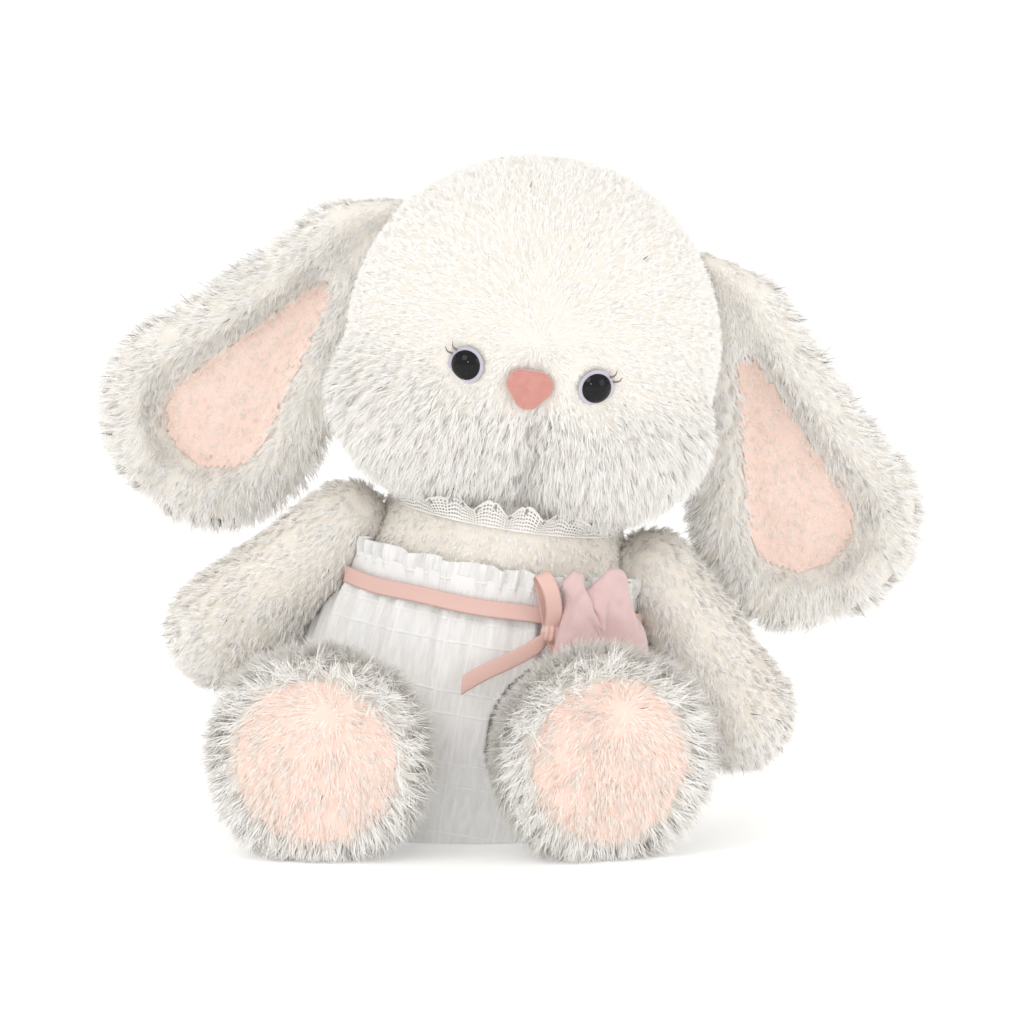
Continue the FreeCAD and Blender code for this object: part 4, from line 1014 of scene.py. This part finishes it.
def stuffed_pad(outline, middle, rings, around, frames):
    """Sew two flat pieces along an outline and fill them, by a cloth simulation under pressure.

    Returns the settled points and the flat skin they started from, in the same order.
    """
    loop = spline(list(outline) + [outline[0]], around + 1)[:-1]
    share = np.linspace(0.04, 1, rings)[:, None, None]
    flat = middle + (loop - middle) * share
    puff = 1.5 * np.sqrt(np.maximum(1 - share[..., 0] ** 2, 0)) * np.ones((1, around))
    front = np.concatenate([flat, puff[..., None]], -1)
    back = np.concatenate([flat[:-1][::-1], -puff[:-1][::-1][..., None]], -1)
    both = np.concatenate([front, back])
    skin = Skin(both)
    piece = put("pad_simulation", plain_mesh("pad_simulation", skin.points * SIM_SCALE, skin.faces()))
    scene = bpy.context.scene
    cloth_modifier = piece.modifiers.new("Cloth", "CLOTH")
    for key, value in PAD_CLOTH.items():
        setattr(cloth_modifier.settings, key, value)
    cloth_modifier.settings.effector_weights.gravity = 0
    cloth_modifier.point_cache.frame_start = 1
    cloth_modifier.point_cache.frame_end = frames
    for step in range(1, frames + 1):
        scene.frame_set(step)
    settled = piece.evaluated_get(bpy.context.evaluated_depsgraph_get()).to_mesh()
    found = np.array([v.co[:] for v in settled.vertices]) / SIM_SCALE
    bpy.data.objects.remove(piece)
    scene.frame_set(1)
    return found, skin


def crease(points, line, depth, wide):
    """Press a soft groove into the front along a line."""
    gap = np.full(len(points), 1e9)
    for a, b in zip(line[:-1], line[1:]):
        a, b = np.array(a, float), np.array(b, float)
        t = np.clip(((points[:, :2] - a) @ (b - a)) / ((b - a) @ (b - a)), 0, 1)
        gap = np.minimum(gap, np.linalg.norm(points[:, :2] - a - t[:, None] * (b - a), axis=1))
    points[:, 2] -= np.where(points[:, 2] > 0, depth * np.exp(-((gap / wide) ** 2)), 0)


def make_tulip():
    frames = TULIP_FRAMES
    points, skin = stuffed_pad(TULIP_OUTLINE, TULIP_MIDDLE, 24, 150, frames)
    if not LEAST_PUFF < np.ptp(points[:, 2]) < MOST_PUFF:
        points = skin.points.copy()
    points[:, 2] *= TULIP_DEPTH / np.ptp(points[:, 2])
    for line, depth, wide in FOLDS:
        crease(points, line, depth, wide)
    velvet = cloth("velvet_pink", (0.74, 0.54, 0.53), (0.66, 0.46, 0.45), 2600, 0.0002, sheen=0.7)
    skin.points = clear_of_arms(TULIP.out(points), ARM_ROOM + 0.2)
    skin.measure()
    piece = make_mesh("tulip_velvet", skin.points, skin.faces(), velvet, "root")
    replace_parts(piece, "tulip_shell", "tulip_stuffing")


# ---------------- lace collar


LACE_RADIUS, LACE_LEVEL = 49.5, 135.0
LACE_FLARE, LACE_RIPPLE, LACE_SWAY = 5.4, 3.4, 1.9
LACE_RISE, SCALLOP_RISE = 8.5, 1.8
SCALLOPS, RIPPLES = 24, 19


def make_lace():
    """A gathered frill of lace: rows of holes and a scalloped edge, rippling round the neck."""
    count, around = 15, 1320
    turn = np.linspace(0, 2 * math.pi, around, endpoint=False)
    rise = np.linspace(0, 1, count)
    scallop = np.abs(np.sin(turn * SCALLOPS)) ** 0.7
    ripple = np.sin(turn * RIPPLES + 0.9 * np.sin(turn * 4))
    flare = rise[:, None] ** 1.2
    radius = LACE_RADIUS + flare * (LACE_FLARE + LACE_RIPPLE * ripple)
    ring = np.zeros((count, around, 3))
    ring[..., 0] = radius * np.cos(turn)
    ring[..., 1] = radius * 0.97 * np.sin(turn)
    height = rise[:, None] * (LACE_RISE + SCALLOP_RISE * scallop)
    ring[..., 2] = LACE_LEVEL + height - flare * LACE_SWAY * ripple
    points = BODY.out(ring)
    skin = Skin(points, ends=(False, False))
    row = np.repeat(np.arange(count - 1), around)
    column = np.tile(np.arange(around), count - 1)
    open_work = (row % 2 == 1) & (column % 5 > 1) & (row < count - 3) & (row > 0)
    eyelet = (row >= count - 5) & (row < count - 2) & ((column + 8) % 27 < 5)
    faces = [f for f, gone in zip(skin.faces(), open_work | eyelet) if not gone]
    lace = cloth("lace_white", (0.95, 0.94, 0.92), (0.88, 0.86, 0.83), 3500, 0.0002)
    piece = make_mesh("lace_frill", skin.points, faces, lace, "neck")
    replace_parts(piece, "neck_lace")


# ---------------- face


def tapered(path, radii, around=8):
    """A tapering tube along a path."""
    heading = unit(np.gradient(path, axis=0))
    first = unit(np.cross(heading, [0.3, 1, 0.2]))
    second = np.cross(heading, first)
    turn = np.linspace(0, 2 * math.pi, around, endpoint=False)
    circle = first[:, None] * np.cos(turn)[None, :, None] + second[:, None] * np.sin(turn)[None, :, None]
    return Skin(path[:, None] + circle * np.asarray(radii)[:, None, None])


LASH_LINES = (((5.0, 5.6), (7.2, 9.2)), ((6.6, 3.8), (9.8, 6.6)))
LASH_STEPS = 12
LASH_ROOT, LASH_TIP = 0.55, 0.12


def make_lashes():
    """Two embroidered lashes at the outer side of each eye."""
    material = cloth("lash_thread", (0.30, 0.25, 0.22), (0.20, 0.16, 0.14), 3000, 0.0002, sheen=0)
    for side, sign in SIDES:
        parts, faces, offset = [], [], 0
        for start, tip in LASH_LINES:
            t = np.linspace(0, 1, LASH_STEPS)[:, None]
            bend = np.array([0.9, -0.9]) * np.sin(t * math.pi) * 0.7
            flat = np.array(start) + (np.array(tip) - start) * t + bend
            x = sign * (EYE_SPREAD + flat[:, 0])
            z = -EYE_DROP + flat[:, 1]
            ahead = unit(np.stack([x, np.full(LASH_STEPS, -62.0), z], -1))
            surface = head_points(ahead[None])[0]
            path = np.stack([x, surface[:, 1] - 2.5 - 2.6 * t[:, 0], z], -1)
            tube = tapered(HEAD.out(path), np.linspace(LASH_ROOT, LASH_TIP, LASH_STEPS))
            parts.append(tube.points)
            faces += [[i + offset for i in f] for f in tube.faces()]
            offset += len(tube.points)
        points = np.concatenate(parts)
        piece = make_mesh(f"lash_pair_{side}", points, faces, material, "head")
        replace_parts(piece, f"lashes_{side}")


# name, colour, shade, grain, depth, roughness, sheen and the nodes that wear it
CAD_LOOKS = (
    ("eye_black", (0.012, 0.012, 0.014), (0.006, 0.006, 0.008), 300, 0.00001, 0.06, 0,
     ("eye_left", "eye_right")),
    ("eye_ring_pale", (0.56, 0.54, 0.62), (0.47, 0.45, 0.53), 500, 0.00003, 0.35, 0,
     ("eye_ring_left", "eye_ring_right")),
    ("nose_flock", (0.64, 0.31, 0.27), (0.55, 0.23, 0.19), 4200, 0.0003, 0.85, 0.8, ("nose",)),
    ("washer_plastic", (0.85, 0.85, 0.84), (0.80, 0.80, 0.79), 200, 0.00003, 0.4, 0,
     ("eye_washer_left", "eye_washer_right", "nose_washer")),
    ("plastic_pellets", (0.80, 0.80, 0.79), (0.72, 0.72, 0.71), 300, 0.00005, 0.4, 0, ("pellets",)),
    ("pouch_cloth", (0.86, 0.85, 0.82), (0.78, 0.77, 0.74), 2500, 0.0002, 0.85, 0.3, ("pellet_pouch",)),
    ("elastic_tape", (0.90, 0.90, 0.89), (0.82, 0.82, 0.81), 1800, 0.0003, 0.85, 0.3, ("waist_elastic",)),
    ("thread_white", (0.92, 0.91, 0.89), (0.84, 0.82, 0.80), 3000, 0.0002, 0.85, 0.3,
     ("neck_gathering_thread",)),
)


def finish_cad_nodes():
    """Give each part that shows as built its material."""
    for *look, nodes in CAD_LOOKS:
        material = cloth(*look)
        for name in nodes:
            materials = frame["nodes"][name].data.materials
            materials.clear()
            materials.append(material)
    glass = bpy.data.materials["eye_black"].node_tree.nodes["Principled BSDF"]
    glass.inputs["Coat Weight"].default_value = 0.1
    glass.inputs["Specular IOR Level"].default_value = 0.15


# ---------------- studio

# The studio is in metres. Each lamp has a place, a size, a power and a colour.
SCENE_MIDDLE = (0.02425, 0, 0.1341)
CAMERA_AWAY = 3.2
CAMERA_UP = 8
CAMERA_COVERS = 0.4357
FLOOR_HALF = 3.0
FLOOR_PROFILE = ((-2.2, 0.0), (0.9, 0.0), (1.3, 0.03), (1.6, 0.14), (1.8, 0.35), (1.9, 0.7), (1.95, 2.6))
FLOOR_ROWS = 60
PAPER_GLOW = 0.22
WORLD_LIGHT = 0.88
LAMPS = (
    ("key_softbox", (-0.9, -1.3, 1.35), 0.9, 7.5, (1, 0.985, 0.965)),
    ("fill_softbox", (1.5, -1.0, 0.7), 1.0, 5, (1, 0.99, 0.975)),
    ("catch_light", (-0.25, -1.5, 0.55), 0.14, 1.4, (1, 1, 1)),
)


def make_floor():
    """A wide sheet of pale paper under the rabbit, curving up behind it."""
    rows = spline(FLOOR_PROFILE, FLOOR_ROWS)
    points = np.array([(x, y, max(z, 0)) for y, z in rows for x in (-FLOOR_HALF, FLOOR_HALF)])
    faces = [[k, k + 1, k + 3, k + 2] for k in range(0, len(points) - 2, 2)]
    floor = put("studio_sweep", plain_mesh("studio_sweep", points, faces))
    material = cloth(
        "studio_paper", (0.955, 0.95, 0.945), (0.945, 0.94, 0.935), 60, 0.0001, sheen=0, specular=0.05
    )
    floor.data.materials.append(material)
    paper = material.node_tree.nodes["Principled BSDF"]
    paper.inputs["Emission Color"].default_value = (1, 1, 1, 1)
    paper.inputs["Emission Strength"].default_value = PAPER_GLOW


def aim(thing, target):
    """Turn a lamp or camera to look at a point."""
    direction = Vector(target) - Vector(thing.location)
    thing.rotation_euler = direction.to_track_quat("-Z", "Y").to_euler()


def make_lights():
    scene = bpy.context.scene
    scene.world = bpy.data.worlds.new("studio_world")
    scene.world.use_nodes = True
    sky = scene.world.node_tree.nodes["Background"]
    sky.inputs["Color"].default_value = (1, 0.99, 0.98, 1)
    sky.inputs["Strength"].default_value = WORLD_LIGHT
    for name, place, size, power, colour in LAMPS:
        data = bpy.data.lights.new(name, "AREA")
        data.shape = "SQUARE"
        data.size = size
        data.energy = power
        data.color = colour
        lamp = put(name, data)
        lamp.location = place
        aim(lamp, SCENE_MIDDLE)


def make_camera():
    scene = bpy.context.scene
    up = math.radians(CAMERA_UP)
    camera_data = bpy.data.cameras.new("photo_camera")
    camera_data.lens = camera_data.sensor_width * CAMERA_AWAY / CAMERA_COVERS
    camera = put("photo_camera", camera_data)
    camera.location = (
        SCENE_MIDDLE[0],
        SCENE_MIDDLE[1] - CAMERA_AWAY * math.cos(up),
        SCENE_MIDDLE[2] + CAMERA_AWAY * math.sin(up),
    )
    aim(camera, SCENE_MIDDLE)
    scene.camera = camera
    scene.view_settings.view_transform = "Standard"


make_head()
make_torso()
for side_name, side_sign in SIDES:
    make_arm(side_name)
    make_leg(side_name)
    make_ear(side_name, side_sign)
make_tail()
make_shorts()
make_ruffle()
make_ribbon()
make_bow()
make_tulip()
make_lace()
make_lashes()
finish_cad_nodes()
make_floor()
make_lights()
make_camera()
